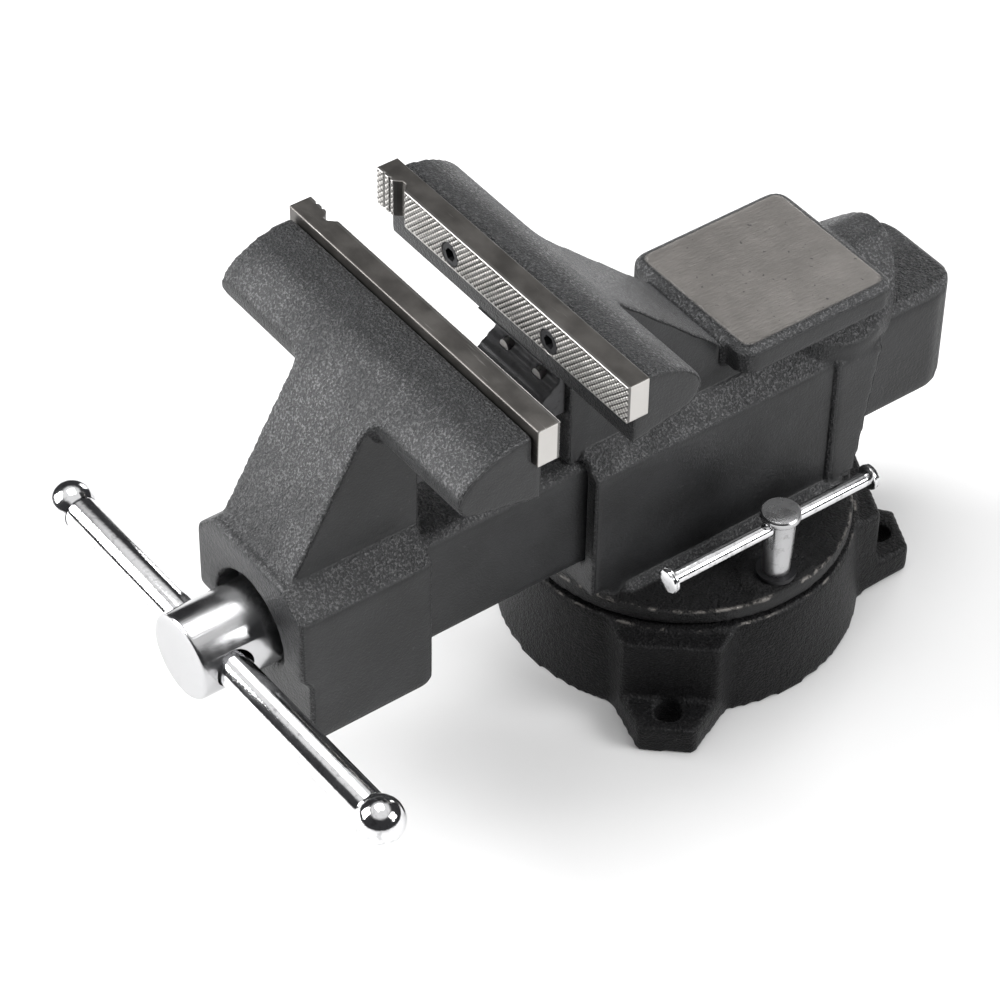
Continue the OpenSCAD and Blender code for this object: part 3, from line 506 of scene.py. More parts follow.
def bare_metal(name, tint, roughness, spacing=0.6 * MM, stretch=(1.0, 0.1, 1.0), dirt=0.25, metallic=1.0,
               dark=0.35):
    """Turned or ground steel with tool marks, smudges and a little dirt."""
    tree, shader, where = new_material(name)
    spot = where.outputs["Object"]
    marks = tool_marks(tree, spot, stretch, spacing)
    smudge = patches(tree, spot, 12 * MM, 0.5, 0.2)
    grime = patches(tree, spot, 3 * MM, dirt, 0.08)
    surface = mix_colour(tree, times(tree, grime, 0.6), rgba(tint), rgba(scaled(tint, dark)))
    fresh = tuple(min(1.0, part) for part in scaled(tint, 1.2))
    surface = mix_colour(tree, times(tree, marks["Scratches"], 0.5), surface, rgba(fresh))
    shader.inputs["Metallic"].default_value = metallic
    shine = mix_value(tree, smudge, roughness, min(1.0, roughness * 1.5 + 0.03))
    finish_shader(tree, shader, surface, shine, marks["Height"], 0.18, 0.2 * MM)


def plate_steel(name, face, direction):
    """Hardened jaw plate: ground top and ends, dark valleys in the serrated face."""
    pick = colours()
    tree, shader, where = new_material(name)
    spot = where.outputs["Object"]
    facing = parts_of(tree, where.outputs["Normal"])
    marks = tool_marks(tree, spot, (0.06, 1.0, 1.0), 0.5 * MM)
    tone = patches(tree, spot, 14 * MM, 0.5, 0.25)
    grime = patches(tree, spot, 1.6 * MM, 0.3, 0.05)
    top = mix_colour(tree, tone, rgba(scaled(pick.ground, 0.34)), rgba(scaled(pick.ground, 0.5)))
    top = mix_colour(tree, times(tree, marks["Scratches"], 0.3), top, rgba(pick.bright))
    ends = ramp(tree, absolute(tree, facing[0]), 0.7, 0.95)
    surface = mix_colour(tree, ends, top, rgba(pick.bright))
    inward = times(tree, minus(tree, parts_of(tree, spot)[1], face), direction)
    toothed = opposite(tree, ramp(tree, inward, 1.2 * MM, 1.6 * MM))
    valley = ramp(tree, inward, 0.22 * MM, 0.5 * MM)
    crest = mix_colour(tree, times(tree, grime, 0.5), rgba(pick.bright), rgba(pick.grime))
    teeth = mix_colour(tree, valley, crest, rgba(pick.valley))
    surface = mix_colour(tree, toothed, surface, teeth)
    shader.inputs["Metallic"].default_value = 0.9
    shine = mix_value(tree, tone, 0.34, 0.46)
    finish_shader(tree, shader, surface, shine, marks["Height"], 0.2, 0.2 * MM)


def make_materials():
    """Builds every finish once."""
    for make in (make_grain_group, make_wear_group, make_box_group, make_rim_group, make_brush_group):
        make()
    pick = colours()
    base_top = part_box("swivel_base")[1].z
    table_rim = base_top + TABLE_RIM_RISE
    anvil_top = ((*ANVIL_LOW, ANVIL_Z - 0.3 * MM), (*ANVIL_HIGH, ANVIL_Z + 10 * MM))
    even = (1.0, 1.0, 1.0)
    cast_paint("Body paint", pick.paint, pick.paint_glint, bare_boxes=[anvil_top],
               rims=[(TABLE_RIM_R, table_rim, 1.6 * MM)], black_below=table_rim + TABLE_PAINT_RISE)
    cast_paint("Jaw paint", pick.paint, pick.paint_glint)
    cast_paint("Base paint", pick.base_paint, scaled(pick.paint_glint, 0.35),
               rims=[(BASE_RIM_R, base_top, 1.2 * MM)], smooth_sides=False, specular=0.14)
    bare_metal("Satin plating", scaled(pick.plating, 0.68), 0.15, stretch=(1.0, 0.05, 1.0), dirt=0.12,
               dark=0.6)
    bare_metal("Chrome", pick.plating, 0.07, spacing=1.2 * MM, stretch=even, dirt=0.3, dark=0.45)
    bare_metal("Turned steel", scaled(pick.bright, 0.85), 0.3, spacing=0.5 * MM)
    bare_metal("Worn plating", scaled(pick.plating, 0.72), 0.2, stretch=(1.0, 1.0, 0.1), dark=0.5)
    bare_metal("Black oxide", pick.oxide, 0.4, metallic=0.6, stretch=even)
    bare_metal("Tooth steel", pick.tooth, 0.38, metallic=0.8)
    bare_metal("Bare iron", pick.iron, 0.5, metallic=0.7, stretch=even, spacing=MM)
    bare_metal("Spring steel", scaled(pick.bright, 0.4), 0.3)
    plate_steel("Fixed plate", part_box("fixed_jaw_plate")[0].y, 1.0)
    plate_steel("Moving plate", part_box("moving_jaw_plate")[1].y, -1.0)


# --- mesh work -------------------------------------------------------------


def link(obj):
    bpy.context.scene.collection.objects.link(obj)
    return obj


def from_shell(name, shell):
    """A new object from a bmesh, which is used up."""
    mesh = bpy.data.meshes.new(name)
    shell.to_mesh(mesh)
    shell.free()
    return link(bpy.data.objects.new(name, mesh))


def empty_piece(name):
    """An object with no faces yet, for a geometry tree to fill."""
    return link(bpy.data.objects.new(name, bpy.data.meshes.new(name)))


def copy_of_node(node, name):
    """A welded copy of a CAD node's mesh, as a new object."""
    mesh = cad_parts[node].data.copy()
    mesh.name = name
    mesh.materials.clear()
    shell = bmesh.new()
    shell.from_mesh(mesh)
    bmesh.ops.remove_doubles(shell, verts=shell.verts, dist=WELD)
    shell.to_mesh(mesh)
    shell.free()
    return link(bpy.data.objects.new(name, mesh))


def settle(obj):
    """Turns an object with modifiers into a plain mesh."""
    bpy.context.view_layer.update()
    graph = bpy.context.evaluated_depsgraph_get()
    mesh = bpy.data.meshes.new_from_object(obj.evaluated_get(graph))
    mesh.name = obj.name
    obj.modifiers.clear()
    obj.data = mesh
    return obj


def smooth_with_edges(obj, degrees):
    """Smooth shading that keeps the edges sharper than an angle."""
    obj.data.shade_smooth()
    obj.data.set_sharp_from_angle(angle=math.radians(degrees))


def dress(obj, material, body, slot, *nodes):
    """Gives a finished piece its material and body, and hides the CAD nodes that it stands for; slot is not
    used.
    """
    if obj.data.materials:
        obj.data.materials[0] = bpy.data.materials[material]
    else:
        obj.data.materials.append(bpy.data.materials[material])
    if len(obj.data.polygons) == 0:
        raise RuntimeError(f"{obj.name} has no faces")
    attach(obj, body)
    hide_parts(*nodes)
    return obj


def cast_skin(node, name, voxel, rounds):
    """A casting with the soft edges of a sand mould."""
    obj = copy_of_node(node, name)
    skin = obj.modifiers.new("Skin", "REMESH")
    skin.mode = "VOXEL"
    skin.voxel_size = voxel
    skin.use_smooth_shade = True
    ease = obj.modifiers.new("Ease", "SMOOTH")
    ease.factor = 0.5
    ease.iterations = rounds
    return settle(obj)


def turned(name, profile, place, steps=72, hole=None, edge=None):
    """A turned piece: (radius, height) points spun about Z, then put in place.

    The profile starts and ends on the axis. hole is an object that is cut out and used up, and edge is the
    width of the broken edges.
    """
    shell = bmesh.new()
    angles = [math.tau * step / steps for step in range(steps)]
    rings = []
    for radius, height in profile:
        if radius < ON_AXIS:
            rings.append([shell.verts.new((0.0, 0.0, height))])
        else:
            rings.append([shell.verts.new((radius * math.cos(angle), radius * math.sin(angle), height))
                          for angle in angles])
    for low, high in zip(rings, rings[1:]):
        for i in range(steps):
            j = (i + 1) % steps
            if len(low) == 1:
                shell.faces.new((low[0], high[i], high[j]))
            elif len(high) == 1:
                shell.faces.new((low[i], low[j], high[0]))
            else:
                shell.faces.new((low[i], low[j], high[j], high[i]))
    bmesh.ops.recalc_face_normals(shell, faces=shell.faces)
    obj = from_shell(name, shell)
    obj.data.transform(place)
    if hole is not None:
        cut = obj.modifiers.new("Hole", "BOOLEAN")
        cut.operation = "DIFFERENCE"
        cut.solver = "EXACT"
        cut.object = hole
        settle(obj)
        bpy.data.objects.remove(hole)
    if edge:
        broken = obj.modifiers.new("Broken edge", "BEVEL")
        broken.width = edge
        broken.segments = 2
        broken.limit_method = "ANGLE"
        broken.angle_limit = math.radians(38)
        settle(obj)
    smooth_with_edges(obj, 42)
    return obj


def joined(name, *objs):
    """Several finished meshes as one piece."""
    shell = bmesh.new()
    for obj in objs:
        shell.from_mesh(obj.data)
        bpy.data.objects.remove(obj)
    return from_shell(name, shell)


def along_y(centre, height, start):
    """Places a piece that was turned about Z on an axis along Y."""
    return Matrix.Translation((centre, start, height)) @ Matrix.Rotation(-QUARTER_TURN, 4, "X")


def straight(radius, low, high):
    """Profile of a plain rod from low to high."""
    return [(0, low), (radius, low), (radius, high), (0, high)]


def rounded(radius, low, high, ease):
    """Profile of a rod from low to high with rounded ends."""
    arc = [(radius - ease + ease * math.sin(angle), ease - ease * math.cos(angle))
           for angle in (0, 0.39, 0.79, 1.18, math.pi / 2)]
    start = [(out, low + rise) for out, rise in arc]
    end = [(out, high - rise) for out, rise in reversed(arc)]
    return [(0.0, low), *start, *end, (0.0, high)]


# --- geometry node trees ---------------------------------------------------

GEOMETRY, MATERIAL, WHOLE = "NodeSocketGeometry", "NodeSocketMaterial", "NodeSocketInt"


def new_geometry_tree(name, takes):
    """A geometry tree that takes a mesh, the given sizes and a material."""
    takes = [("Geometry", GEOMETRY, None), *takes, ("Material", MATERIAL, None)]
    return new_group(name, "GeometryNodeTree", takes, [("Geometry", GEOMETRY)])


def finish_tree(tree, geometry, given, wanted):
    """Ends a geometry tree in Realize Instances and Set Material."""
    real = add_node(tree, "GeometryNodeRealizeInstances", {"Geometry": geometry})
    painted = add_node(tree, "GeometryNodeSetMaterial",
                       {"Geometry": real.outputs[0], "Material": given["Material"]})
    tree.links.new(painted.outputs[0], wanted["Geometry"])
    return tree


def raised_by(tree, geometry, height):
    """A geometry moved up."""
    return add_node(tree, "GeometryNodeTransform",
                    {"Geometry": geometry, "Translation": vector_of(tree, {2: height})}).outputs[0]


def run_tree(obj, tree, material, values):
    """Runs a geometry tree on an object with named input values, and makes the result a plain mesh."""
    modifier = obj.modifiers.new(tree.name, "NODES")
    modifier.node_group = tree
    names = {item.name: item.identifier for item in tree.interface.items_tree
             if item.item_type == "SOCKET" and item.in_out == "INPUT"}
    for label, value in {**values, "Material": bpy.data.materials[material]}.items():
        modifier[names[label]] = value
    return settle(obj)


def serration_tree():
    """Presses crossed diagonal grooves into the gripping side of a jaw plate."""
    tree, given, wanted = new_geometry_tree("Serrations", [
        ("Pitch", FLOAT, 2 * MM), ("Depth", FLOAT, 0.5 * MM), ("Face", FLOAT, 0.0), ("Direction", FLOAT, 1.0),
        ("Low", FLOAT, 0.0), ("High", FLOAT, 1.0),
    ])
    part = parts_of(tree, add_node(tree, "GeometryNodeInputPosition").outputs[0])
    waves = [triangle(tree, over(tree, math_node(tree, operation, part[0], part[2]), given["Pitch"]))
             for operation in ("ADD", "SUBTRACT")]
    groove = ramp(tree, larger(tree, *waves), 0.4, 1.0)
    inward = times(tree, minus(tree, part[1], given["Face"]), given["Direction"])
    near = opposite(tree, ramp(tree, inward, 0.05 * MM, 0.35 * MM))
    above = ramp(tree, minus(tree, part[2], given["Low"]), 0.3 * MM, 0.8 * MM)
    below = ramp(tree, minus(tree, given["High"], part[2]), 0.3 * MM, 0.8 * MM)
    share = times(tree, times(tree, near, above), below)
    move = times(tree, times(tree, times(tree, groove, share), given["Depth"]), given["Direction"])
    pressed = add_node(tree, "GeometryNodeSetPosition",
                       {"Geometry": given["Geometry"], "Offset": vector_of(tree, {1: move})})
    return finish_tree(tree, pressed.outputs[0], given, wanted)


def thread_tree():
    """A right-hand trapezoidal thread on a rod that stands on Z = 0."""
    tree, given, wanted = new_geometry_tree("Spindle thread", [
        ("Radius", FLOAT, 11 * MM), ("Length", FLOAT, 200 * MM), ("Lead", FLOAT, 5 * MM),
        ("Depth", FLOAT, 1.8 * MM), ("Rings", WHOLE, 300),
    ])
    rod = add_node(tree, "GeometryNodeMeshCylinder",
                   {"Vertices": 40, "Side Segments": given["Rings"], "Radius": given["Radius"],
                    "Depth": given["Length"]}, fill_type="NGON")
    part = parts_of(tree, add_node(tree, "GeometryNodeInputPosition").outputs[0])
    turn = over(tree, math_node(tree, "ARCTAN2", part[1], part[0]), math.tau)
    phase = minus(tree, over(tree, part[2], given["Lead"]), turn)
    cut = ramp(tree, triangle(tree, phase), 0.38, 0.62)
    keep = opposite(tree, over(tree, times(tree, cut, given["Depth"]), given["Radius"]))
    place = vector_of(tree, {0: times(tree, part[0], keep), 1: times(tree, part[1], keep), 2: part[2]})
    cut_rod = add_node(tree, "GeometryNodeSetPosition", {"Geometry": rod.outputs["Mesh"], "Position": place})
    stood = raised_by(tree, cut_rod.outputs[0], times(tree, given["Length"], 0.5))
    return finish_tree(tree, stood, given, wanted)


def coil_tree():
    """A round-wire spring that stands on Z = 0."""
    tree, given, wanted = new_geometry_tree("Coil", [
        ("Radius", FLOAT, 13.6 * MM), ("Wire", FLOAT, 1.4 * MM), ("Length", FLOAT, 14 * MM),
        ("Turns", FLOAT, 4.0),
    ])
    clear = minus(tree, given["Length"], times(tree, given["Wire"], 2.0))
    path = add_node(tree, "GeometryNodeCurveSpiral",
                    {"Resolution": 40, "Rotations": given["Turns"], "Start Radius": given["Radius"],
                     "End Radius": given["Radius"], "Height": clear})
    ring = add_node(tree, "GeometryNodeCurvePrimitiveCircle", {"Resolution": 14, "Radius": given["Wire"]})
    wire = add_node(tree, "GeometryNodeCurveToMesh",
                    {"Curve": path.outputs[0], "Profile Curve": ring.outputs[0], "Fill Caps": True})
    return finish_tree(tree, raised_by(tree, wire.outputs[0], given["Wire"]), given, wanted)


def screw_row_tree():
    """Copies of a socket screw along X from a start point."""
    tree, given, wanted = new_geometry_tree("Screw row", [
        ("Count", WHOLE, 2), ("Spacing", FLOAT, 60 * MM), ("Start", VECTOR, None),
    ])
    row = add_node(tree, "GeometryNodeMeshLine",
                   {"Count": given["Count"], "Start Location": given["Start"],
                    "Offset": vector_of(tree, {0: given["Spacing"]})})
    copies = add_node(tree, "GeometryNodeInstanceOnPoints",
                      {"Points": row.outputs[0], "Instance": given["Geometry"]})
    return finish_tree(tree, copies.outputs[0], given, wanted)


# --- pieces ----------------------------------------------------------------


class VISE_OT_materials(bpy.types.Operator):
    """Make the finishes of the vise"""

    bl_idname = "vise.materials"
    bl_label = "Finishes"

    def execute(self, context):
        make_materials()
        return {"FINISHED"}


class VISE_OT_base(bpy.types.Operator):
    """Make the swivel base"""

    bl_idname = "vise.base"
    bl_label = "Swivel base"

    def execute(self, context):
        obj = cast_skin("swivel_base", "base_casting_skin", sizes().skin, 4)
        dress(obj, "Base paint", "base", "base_paint", "swivel_base")
        return {"FINISHED"}


class VISE_OT_body(bpy.types.Operator):
    """Make the housing with its fixed jaw and anvil"""

    bl_idname = "vise.body"
    bl_label = "Housing and fixed jaw"

    def execute(self, context):
        obj = cast_skin("body_casting", "body_casting_skin", sizes().skin, 4)
        dress(obj, "Body paint", "fixed_body", "cast_paint", "body_casting")
        return {"FINISHED"}


class VISE_OT_moving_jaw(bpy.types.Operator):
    """Make the moving jaw with its slide bar"""

    bl_idname = "vise.moving_jaw"
    bl_label = "Moving jaw"

    def execute(self, context):
        coarser = 1.07 * sizes().skin
        obj = cast_skin("moving_jaw_casting", "moving_jaw_skin", coarser, 4)
        dress(obj, "Jaw paint", "moving_jaw", "cast_paint", "moving_jaw_casting")
        return {"FINISHED"}


class VISE_OT_plates(bpy.types.Operator):
    """Make both serrated jaw plates"""

    bl_idname = "vise.plates"
    bl_label = "Jaw plates"

    def execute(self, context):
        tree = serration_tree()
        for side, body, direction in (("fixed", "fixed_body", 1.0), ("moving", "moving_jaw", -1.0)):
            node = side + "_jaw_plate"
            material = side.capitalize() + " plate"
            low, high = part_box(node)
            obj = cast_skin(node, side + "_plate_steel", sizes().small_skin, 2)
            run_tree(obj, tree, material, {
                "Pitch": sizes().serration_pitch, "Depth": sizes().serration_depth, "Direction": direction,
                "Face": low.y if direction > 0 else high.y, "Low": low.z, "High": high.z,
            })
            dress(obj, material, body, "plate_steel", node)
        return {"FINISHED"}


class VISE_OT_plate_screws(bpy.types.Operator):
    """Make the socket screws of the jaw plates"""

    bl_idname = "vise.plate_screws"
    bl_label = "Plate screws"

    def execute(self, context):
        tree = screw_row_tree()
        shank, seat, pitch, groove = 3.2 * MM, 5.5 * MM, 1.25 * MM, 0.7 * MM
        broken = 0.4 * MM
        for side, body, way in (("fixed", "fixed_body", 1.0), ("moving", "moving_jaw", -1.0)):
            node = side + "_plate_screws"
            low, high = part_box(node)
            centre, head = middle(node), half_size(node).z
            long = high.y - low.y
            place = Matrix.Rotation(-QUARTER_TURN * way, 4, "X")
            socket = turned("socket", straight(2.9 * MM, 3.2 * MM, -1.0 * MM), place, steps=6)
            profile = [(0, 0), (head - broken, 0), (head, broken), (head, seat), (shank, seat)]
            for turn in range(int((long - seat) / pitch) - 1):
                z = seat + turn * pitch
                profile += [(shank, z + 0.1 * pitch), (shank - groove, z + 0.5 * pitch),
                            (shank, z + 0.9 * pitch)]
            profile += [(shank - 2 * broken, long), (0, long)]
            obj = turned(side + "_socket_screws", profile, place, steps=36, hole=socket)
            start = (low.x + head, low.y if way > 0 else high.y, centre.z)
            run_tree(obj, tree, "Black oxide",
                     {"Count": 2, "Spacing": high.x - low.x - 2 * head, "Start": start})
            dress(obj, "Black oxide", body, "bolt_steel", node)
        return {"FINISHED"}


class VISE_OT_pipe_jaws(bpy.types.Operator):
    """Make both toothed pipe jaws"""

    bl_idname = "vise.pipe_jaws"
    bl_label = "Pipe jaws"

    def execute(self, context):
        for node, body in (("fixed_pipe_jaw", "fixed_body"), ("moving_pipe_jaw", "moving_jaw")):
            obj = cast_skin(node, node + "_steel", 0.6 * MM, 1)
            dress(obj, "Tooth steel", body, "tooth_steel", node)
        return {"FINISHED"}


class VISE_OT_spindle(bpy.types.Operator):
    """Make the threaded spindle and its head"""

    bl_idname = "vise.spindle"
    bl_label = "Spindle"

    def execute(self, context):
        low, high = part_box("spindle_screw")
        head_low, head_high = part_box("spindle_head")
        radius = high.x
        spigot = radius - 3 * MM
        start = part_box("retaining_pin")[1].y + 1.5 * MM
        thread_long = high.y - start
        thread = empty_piece("thread")
        run_tree(thread, thread_tree(), "Turned steel", {
            "Radius": radius, "Length": thread_long, "Lead": sizes().thread_lead,
            "Depth": sizes().thread_depth, "Rings": int(thread_long / (0.5 * MM)),
        })
        thread.data.transform(along_y(0, SPINDLE_Z, start))
        recess = head_high.y + 0.4 * MM - low.y
        plain = start - low.y
        profile = [(0, 0), (spigot, 0), (spigot, recess), (radius, recess), (radius, plain), (0, plain)]
        shank = turned("shank", profile, along_y(0, SPINDLE_Z, low.y))
        screw = joined("spindle_thread", thread, shank)
        smooth_with_edges(screw, 40)
        dress(screw, "Turned steel", "spindle", "bare_steel", "spindle_screw")

        rim, deep = head_high.x, head_high.y - head_low.y
        bore_floor = deep - 16.6 * MM
        hole = turned("hole", straight(HANDLE_R + HANDLE_PLAY, -30 * MM, 30 * MM),
                      Matrix.Translation((0, HANDLE_Y, SPINDLE_Z))
                      @ Matrix.Rotation(QUARTER_TURN - HANDLE_TILT, 4, "Y"))
        profile = [(0, 0), (rim - 2.2 * MM, 0), (rim - 0.8 * MM, 0.3 * MM), (rim - 0.2 * MM, 0.9 * MM),
                   (rim, 1.8 * MM), (rim, deep - 0.5 * MM), (rim - 0.5 * MM, deep), (spigot, deep),
                   (spigot, bore_floor), (0, bore_floor)]
        head = turned("spindle_head_chrome", profile, along_y(0, SPINDLE_Z, head_low.y), steps=120, hole=hole,
                      edge=sizes().edge)
        dress(head, "Satin plating", "spindle", "chrome", "spindle_head")
        return {"FINISHED"}


class VISE_OT_handle(bpy.types.Operator):
    """Make the sliding handle with its two balls"""

    bl_idname = "vise.handle"
    bl_label = "Handle"

    def execute(self, context):
        ball = half_size("handle_ball_left").y
        left = Vector((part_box("handle_ball_left")[0].x + ball, HANDLE_Y, LEFT_BALL.z))
        right = Vector((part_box("handle_ball_right")[1].x - ball, HANDLE_Y, RIGHT_BALL.z))
        span = (right - left).length
        place = Matrix.Translation(left) @ Matrix.Rotation(QUARTER_TURN - HANDLE_TILT, 4, "Y")
        seat = 2 * MM
        meet = math.sqrt(ball ** 2 - HANDLE_R ** 2)
        far = span - meet
        collar, neck = HANDLE_R + 0.15 * MM, HANDLE_R - 0.3 * MM
        bar = [(0, seat), (HANDLE_R, seat), (HANDLE_R, meet), (collar, meet + 0.2 * MM),
               (collar, meet + 1.0 * MM), (HANDLE_R, meet + 5 * MM), (HANDLE_R, far - 1.4 * MM),
               (neck, far - 1.0 * MM), (neck, far), (HANDLE_R, far + 0.1 * MM), (HANDLE_R, span - seat),
               (0, span - seat)]
        rod = turned("handle_rod", bar, place, steps=96)
        dress(rod, "Chrome", "handle", "chrome", "handle_bar")

        ball_steps = 24
        mouth = math.acos(meet / ball) + 0.03
        profile = [(0, -seat), (HANDLE_R, -seat), (HANDLE_R, 0.35 * MM - meet),
                   (HANDLE_R + 0.25 * MM, 0.1 * MM - meet)]
        for step in range(1, ball_steps):
            angle = mouth + (math.pi - mouth) * step / ball_steps
            profile.append((ball * math.sin(angle), -ball * math.cos(angle)))
        profile.append((0, ball))
        for node, put in (("handle_ball_left", Matrix.Rotation(math.pi, 4, "X")),
                          ("handle_ball_right", Matrix.Translation((0, 0, span)))):
            knob = turned(node + "_chrome", profile, place @ put, steps=96)
            dress(knob, "Chrome", "handle", "chrome", node)
        return {"FINISHED"}


class VISE_OT_lock_bolts(bpy.types.Operator):
    """Make both swivel lock bolts with their bars and caps"""

    bl_idname = "vise.lock_bolts"
    bl_label = "Lock bolts"

    def execute(self, context):
        for side in ("right", "left"):
            self.make_bolt(side)
            self.make_bar(side)
        return {"FINISHED"}

    def make_bolt(self, side):
        """The bolt, with its cross hole"""
        node, bar = "lock_bolt_" + side, "lock_bar_" + side
        low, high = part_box(node)
        x, head = middle(node).x, half_size(node).x
        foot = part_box("lock_washer_" + side)[1].z + 0.1 * MM - low.z
        top = high.z - low.z
        rim = top - 3.2 * MM
        thread = 4.76 * MM
        profile = [(0, 0), (thread - 0.8 * MM, 0), (thread, 0.8 * MM), (thread, foot), (5.6 * MM, foot),
                   (5.5 * MM, foot + 1.0 * MM), (6.4 * MM, rim - 1.5 * MM), (6.7 * MM, rim - 0.4 * MM),
                   (head - 0.3 * MM, rim), (head, rim + 0.5 * MM), (head, top - 0.7 * MM),
                   (head - 0.6 * MM, top), (0, top)]
        hole = turned("hole", straight(half_size(bar).x + LOCK_BAR_PLAY, -20 * MM, 20 * MM),
                      along_y(x, middle(bar).z, 0.0))
        bolt = turned(node + "_stem", profile, Matrix.Translation((x, 0, low.z)), steps=96, hole=hole,
                      edge=0.25 * MM)
        dress(bolt, "Worn plating", node, "chrome", node)

    def make_bar(self, side):
        """The sliding bar, and the caps on its ends"""
        node, caps_node = "lock_bar_" + side, "lock_bar_caps_" + side
        low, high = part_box(node)
        z, long = middle(node).z, high.y - low.y
        x = middle("lock_bolt_" + side).x
        bar = turned(node + "_rod", rounded(half_size(node).x, 0.0, long, 0.4 * MM), along_y(x, z, low.y))
        dress(bar, "Chrome", node, "chrome", node)
        rim = half_size(caps_node).x
        thick = half_size(caps_node).y - long / 2
        cap = [(0, 0), (rim - 0.8 * MM, 0), (rim - 0.1 * MM, 0.5 * MM), (rim, 1.0 * MM),
               (rim - 0.1 * MM, 1.4 * MM), (rim - 0.7 * MM, 1.6 * MM), (rim - 0.2 * MM, 1.9 * MM),
               (rim - 0.3 * MM, thick - 0.4 * MM), (rim - 1.0 * MM, thick), (0, thick)]
        near = turned("cap", cap, along_y(x, z, high.y))
        far = turned("cap", cap, Matrix.Translation((x, low.y, z)) @ Matrix.Rotation(QUARTER_TURN, 4, "X"))
        dress(joined("lock_caps_" + side, near, far), "Chrome", node, "chrome", caps_node)


class VISE_OT_inner_parts(bpy.types.Operator):
    """Make the spring, and finish the parts inside the slide bar"""

    bl_idname = "vise.inner_parts"
    bl_label = "Inner parts"

    def execute(self, context):
        low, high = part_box("spindle_spring")
        wire = 1.42 * MM
        coil = empty_piece("spring_coil")
        run_tree(coil, coil_tree(), "Spring steel",
                 {"Radius": high.x - wire, "Wire": wire, "Length": high.y - low.y, "Turns": 4.0})
        coil.data.transform(along_y(0, SPINDLE_Z, low.y))
        coil.data.shade_smooth()
        dress(coil, "Spring steel", "moving_jaw", "bare_steel", "spindle_spring")
        for name, nodes in (
            ("Bare iron", ("spindle_nut", "tee_nut_right", "tee_nut_left")),
            ("Black oxide", ("nut_bolt", "lock_washer_right", "lock_washer_left")),
            ("Turned steel", ("spindle_head_pin", "thrust_washer", "spring_washer", "retaining_pin",
                              "fixed_pipe_jaw_pins", "moving_pipe_jaw_pins")),
        ):
            for node in nodes:
                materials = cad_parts[node].data.materials
                if not materials:
                    materials.append(bpy.data.materials[name])
                for index in range(len(materials)):
                    materials[index] = bpy.data.materials[name]
        return {"FINISHED"}


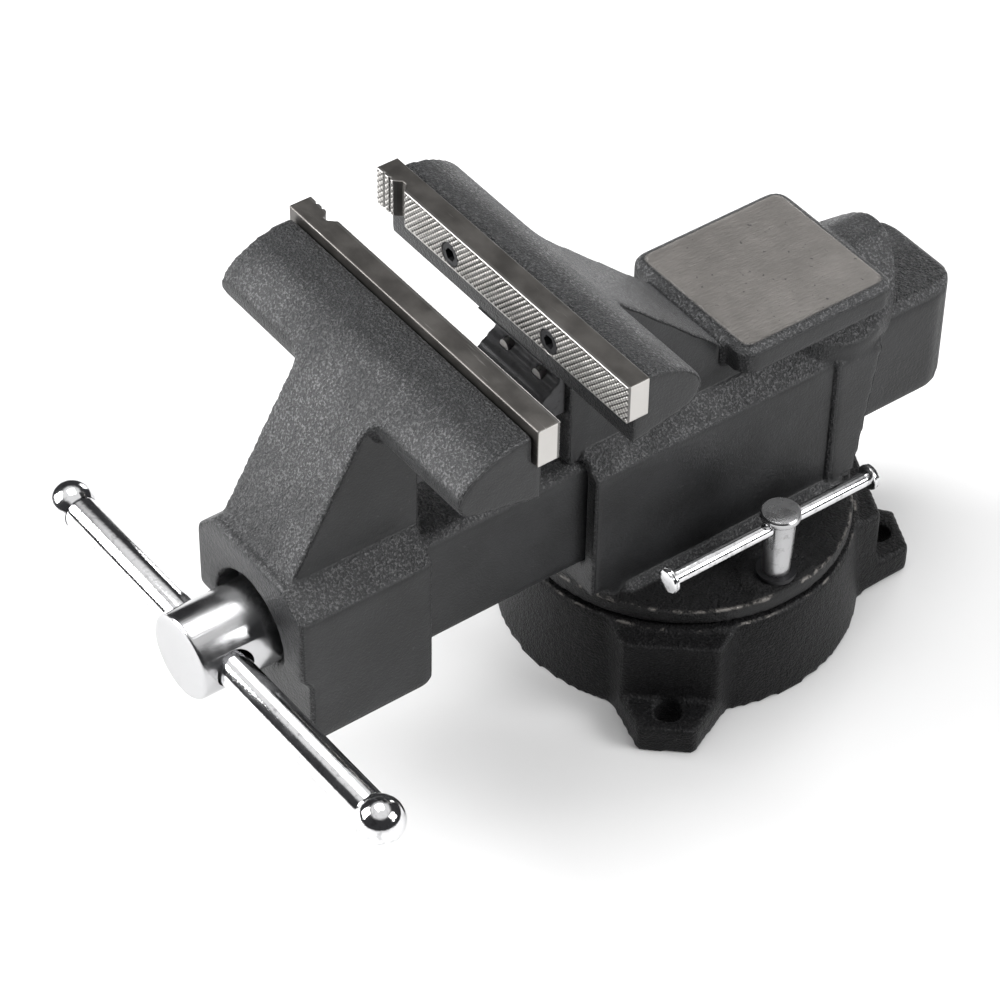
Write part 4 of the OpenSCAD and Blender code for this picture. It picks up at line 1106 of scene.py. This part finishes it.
class VISE_OT_stage(bpy.types.Operator):
    """Make the floor, the lights and the camera"""

    bl_idname = "vise.stage"
    bl_label = "Studio"

    def execute(self, context):
        self.make_floor()
        self.make_lights(context.scene)
        self.make_camera(context.scene)
        return {"FINISHED"}

    def make_floor(self):
        """A plain pale floor"""
        _, shader, _ = new_material("Studio floor")
        shader.inputs["Base Color"].default_value = rgba(colours().floor)
        shader.inputs["Roughness"].default_value = 0.75
        floor = empty_piece("studio_floor")
        corners = [(x * FLOOR_HALF, y * FLOOR_HALF, 0) for x, y in ((-1, -1), (1, -1), (1, 1), (-1, 1))]
        floor.data.from_pydata(corners, [], [(0, 1, 2, 3)])
        floor.data.materials.append(bpy.data.materials["Studio floor"])

    def make_lights(self, scene):
        """Soft lamps, and a sky that is brightest overhead"""
        for name, spot, size, power in LAMPS:
            lamp = bpy.data.lights.new(name, "AREA")
            lamp.energy = power
            lamp.size = size
            obj = link(bpy.data.objects.new(name, lamp))
            obj.location = spot
            aim = Vector(LAMP_TARGET) - Vector(spot)
            obj.rotation_euler = aim.to_track_quat("-Z", "Y").to_euler()
        scene.world = bpy.data.worlds.new("Studio")
        scene.world.use_nodes = True
        sky = scene.world.node_tree
        up = parts_of(sky, add_node(sky, "ShaderNodeTexCoord").outputs["Generated"])[2]
        glow = mix_colour(sky, ramp(sky, up, 0.66, 0.84), rgba(SKY_DARK), rgba(SKY_BRIGHT))
        sky.links.new(glow, sky.nodes["Background"].inputs["Color"])
        sky.nodes["Background"].inputs["Strength"].default_value = SKY_STRENGTH

    def make_camera(self, scene):
        """The camera, placed by azimuth, elevation and roll"""
        camera = bpy.data.cameras.new("camera")
        camera.lens = CAMERA_LENS
        camera.sensor_width = 36.0
        camera.clip_end = 20.0
        azimuth, elevation, roll = (math.radians(angle) for angle in CAMERA_ANGLES)
        back = Vector((math.sin(azimuth) * math.cos(elevation), -math.cos(azimuth) * math.cos(elevation),
                       math.sin(elevation)))
        side = Vector((math.cos(azimuth), math.sin(azimuth), 0))
        side = side * math.cos(roll) + back.cross(side) * math.sin(roll)
        turn = Matrix((side, back.cross(side), back)).transposed().to_4x4()
        eye = link(bpy.data.objects.new("camera", camera))
        eye.matrix_world = Matrix.Translation(CAMERA_PLACE) @ turn
        scene.camera = eye
        scene.view_settings.view_transform = "Standard"


OPERATORS = (
    VISE_OT_materials, VISE_OT_base, VISE_OT_body, VISE_OT_moving_jaw, VISE_OT_plates,
    VISE_OT_plate_screws, VISE_OT_pipe_jaws, VISE_OT_spindle, VISE_OT_handle, VISE_OT_lock_bolts,
    VISE_OT_inner_parts, VISE_OT_stage,
)


class VISE_PT_panel(bpy.types.Panel):
    """Sizes, colours and pieces of the vise"""

    bl_idname = "VISE_PT_panel"
    bl_label = "Bench vise"
    bl_space_type = "VIEW_3D"
    bl_region_type = "UI"
    bl_category = "Vise"

    def draw(self, context):
        for group in (sizes(), colours()):
            box = self.layout.box()
            for name in group.__annotations__:
                box.prop(group, name)
        for operator in OPERATORS:
            self.layout.operator(operator.bl_idname)


CLASSES = (ViseSizes, ViseColours, *OPERATORS, VISE_PT_panel)


def register():
    for item in CLASSES:
        bpy.utils.register_class(item)
    bpy.types.Scene.vise_sizes = bpy.props.PointerProperty(type=ViseSizes)
    bpy.types.Scene.vise_colours = bpy.props.PointerProperty(type=ViseColours)


def unregister():
    del bpy.types.Scene.vise_colours
    del bpy.types.Scene.vise_sizes
    for item in reversed(CLASSES):
        bpy.utils.unregister_class(item)


def main():
    register()
    for operator in OPERATORS:
        area, name = operator.bl_idname.split(".")
        getattr(getattr(bpy.ops, area), name)()


if __name__ == "__main__":
    main()
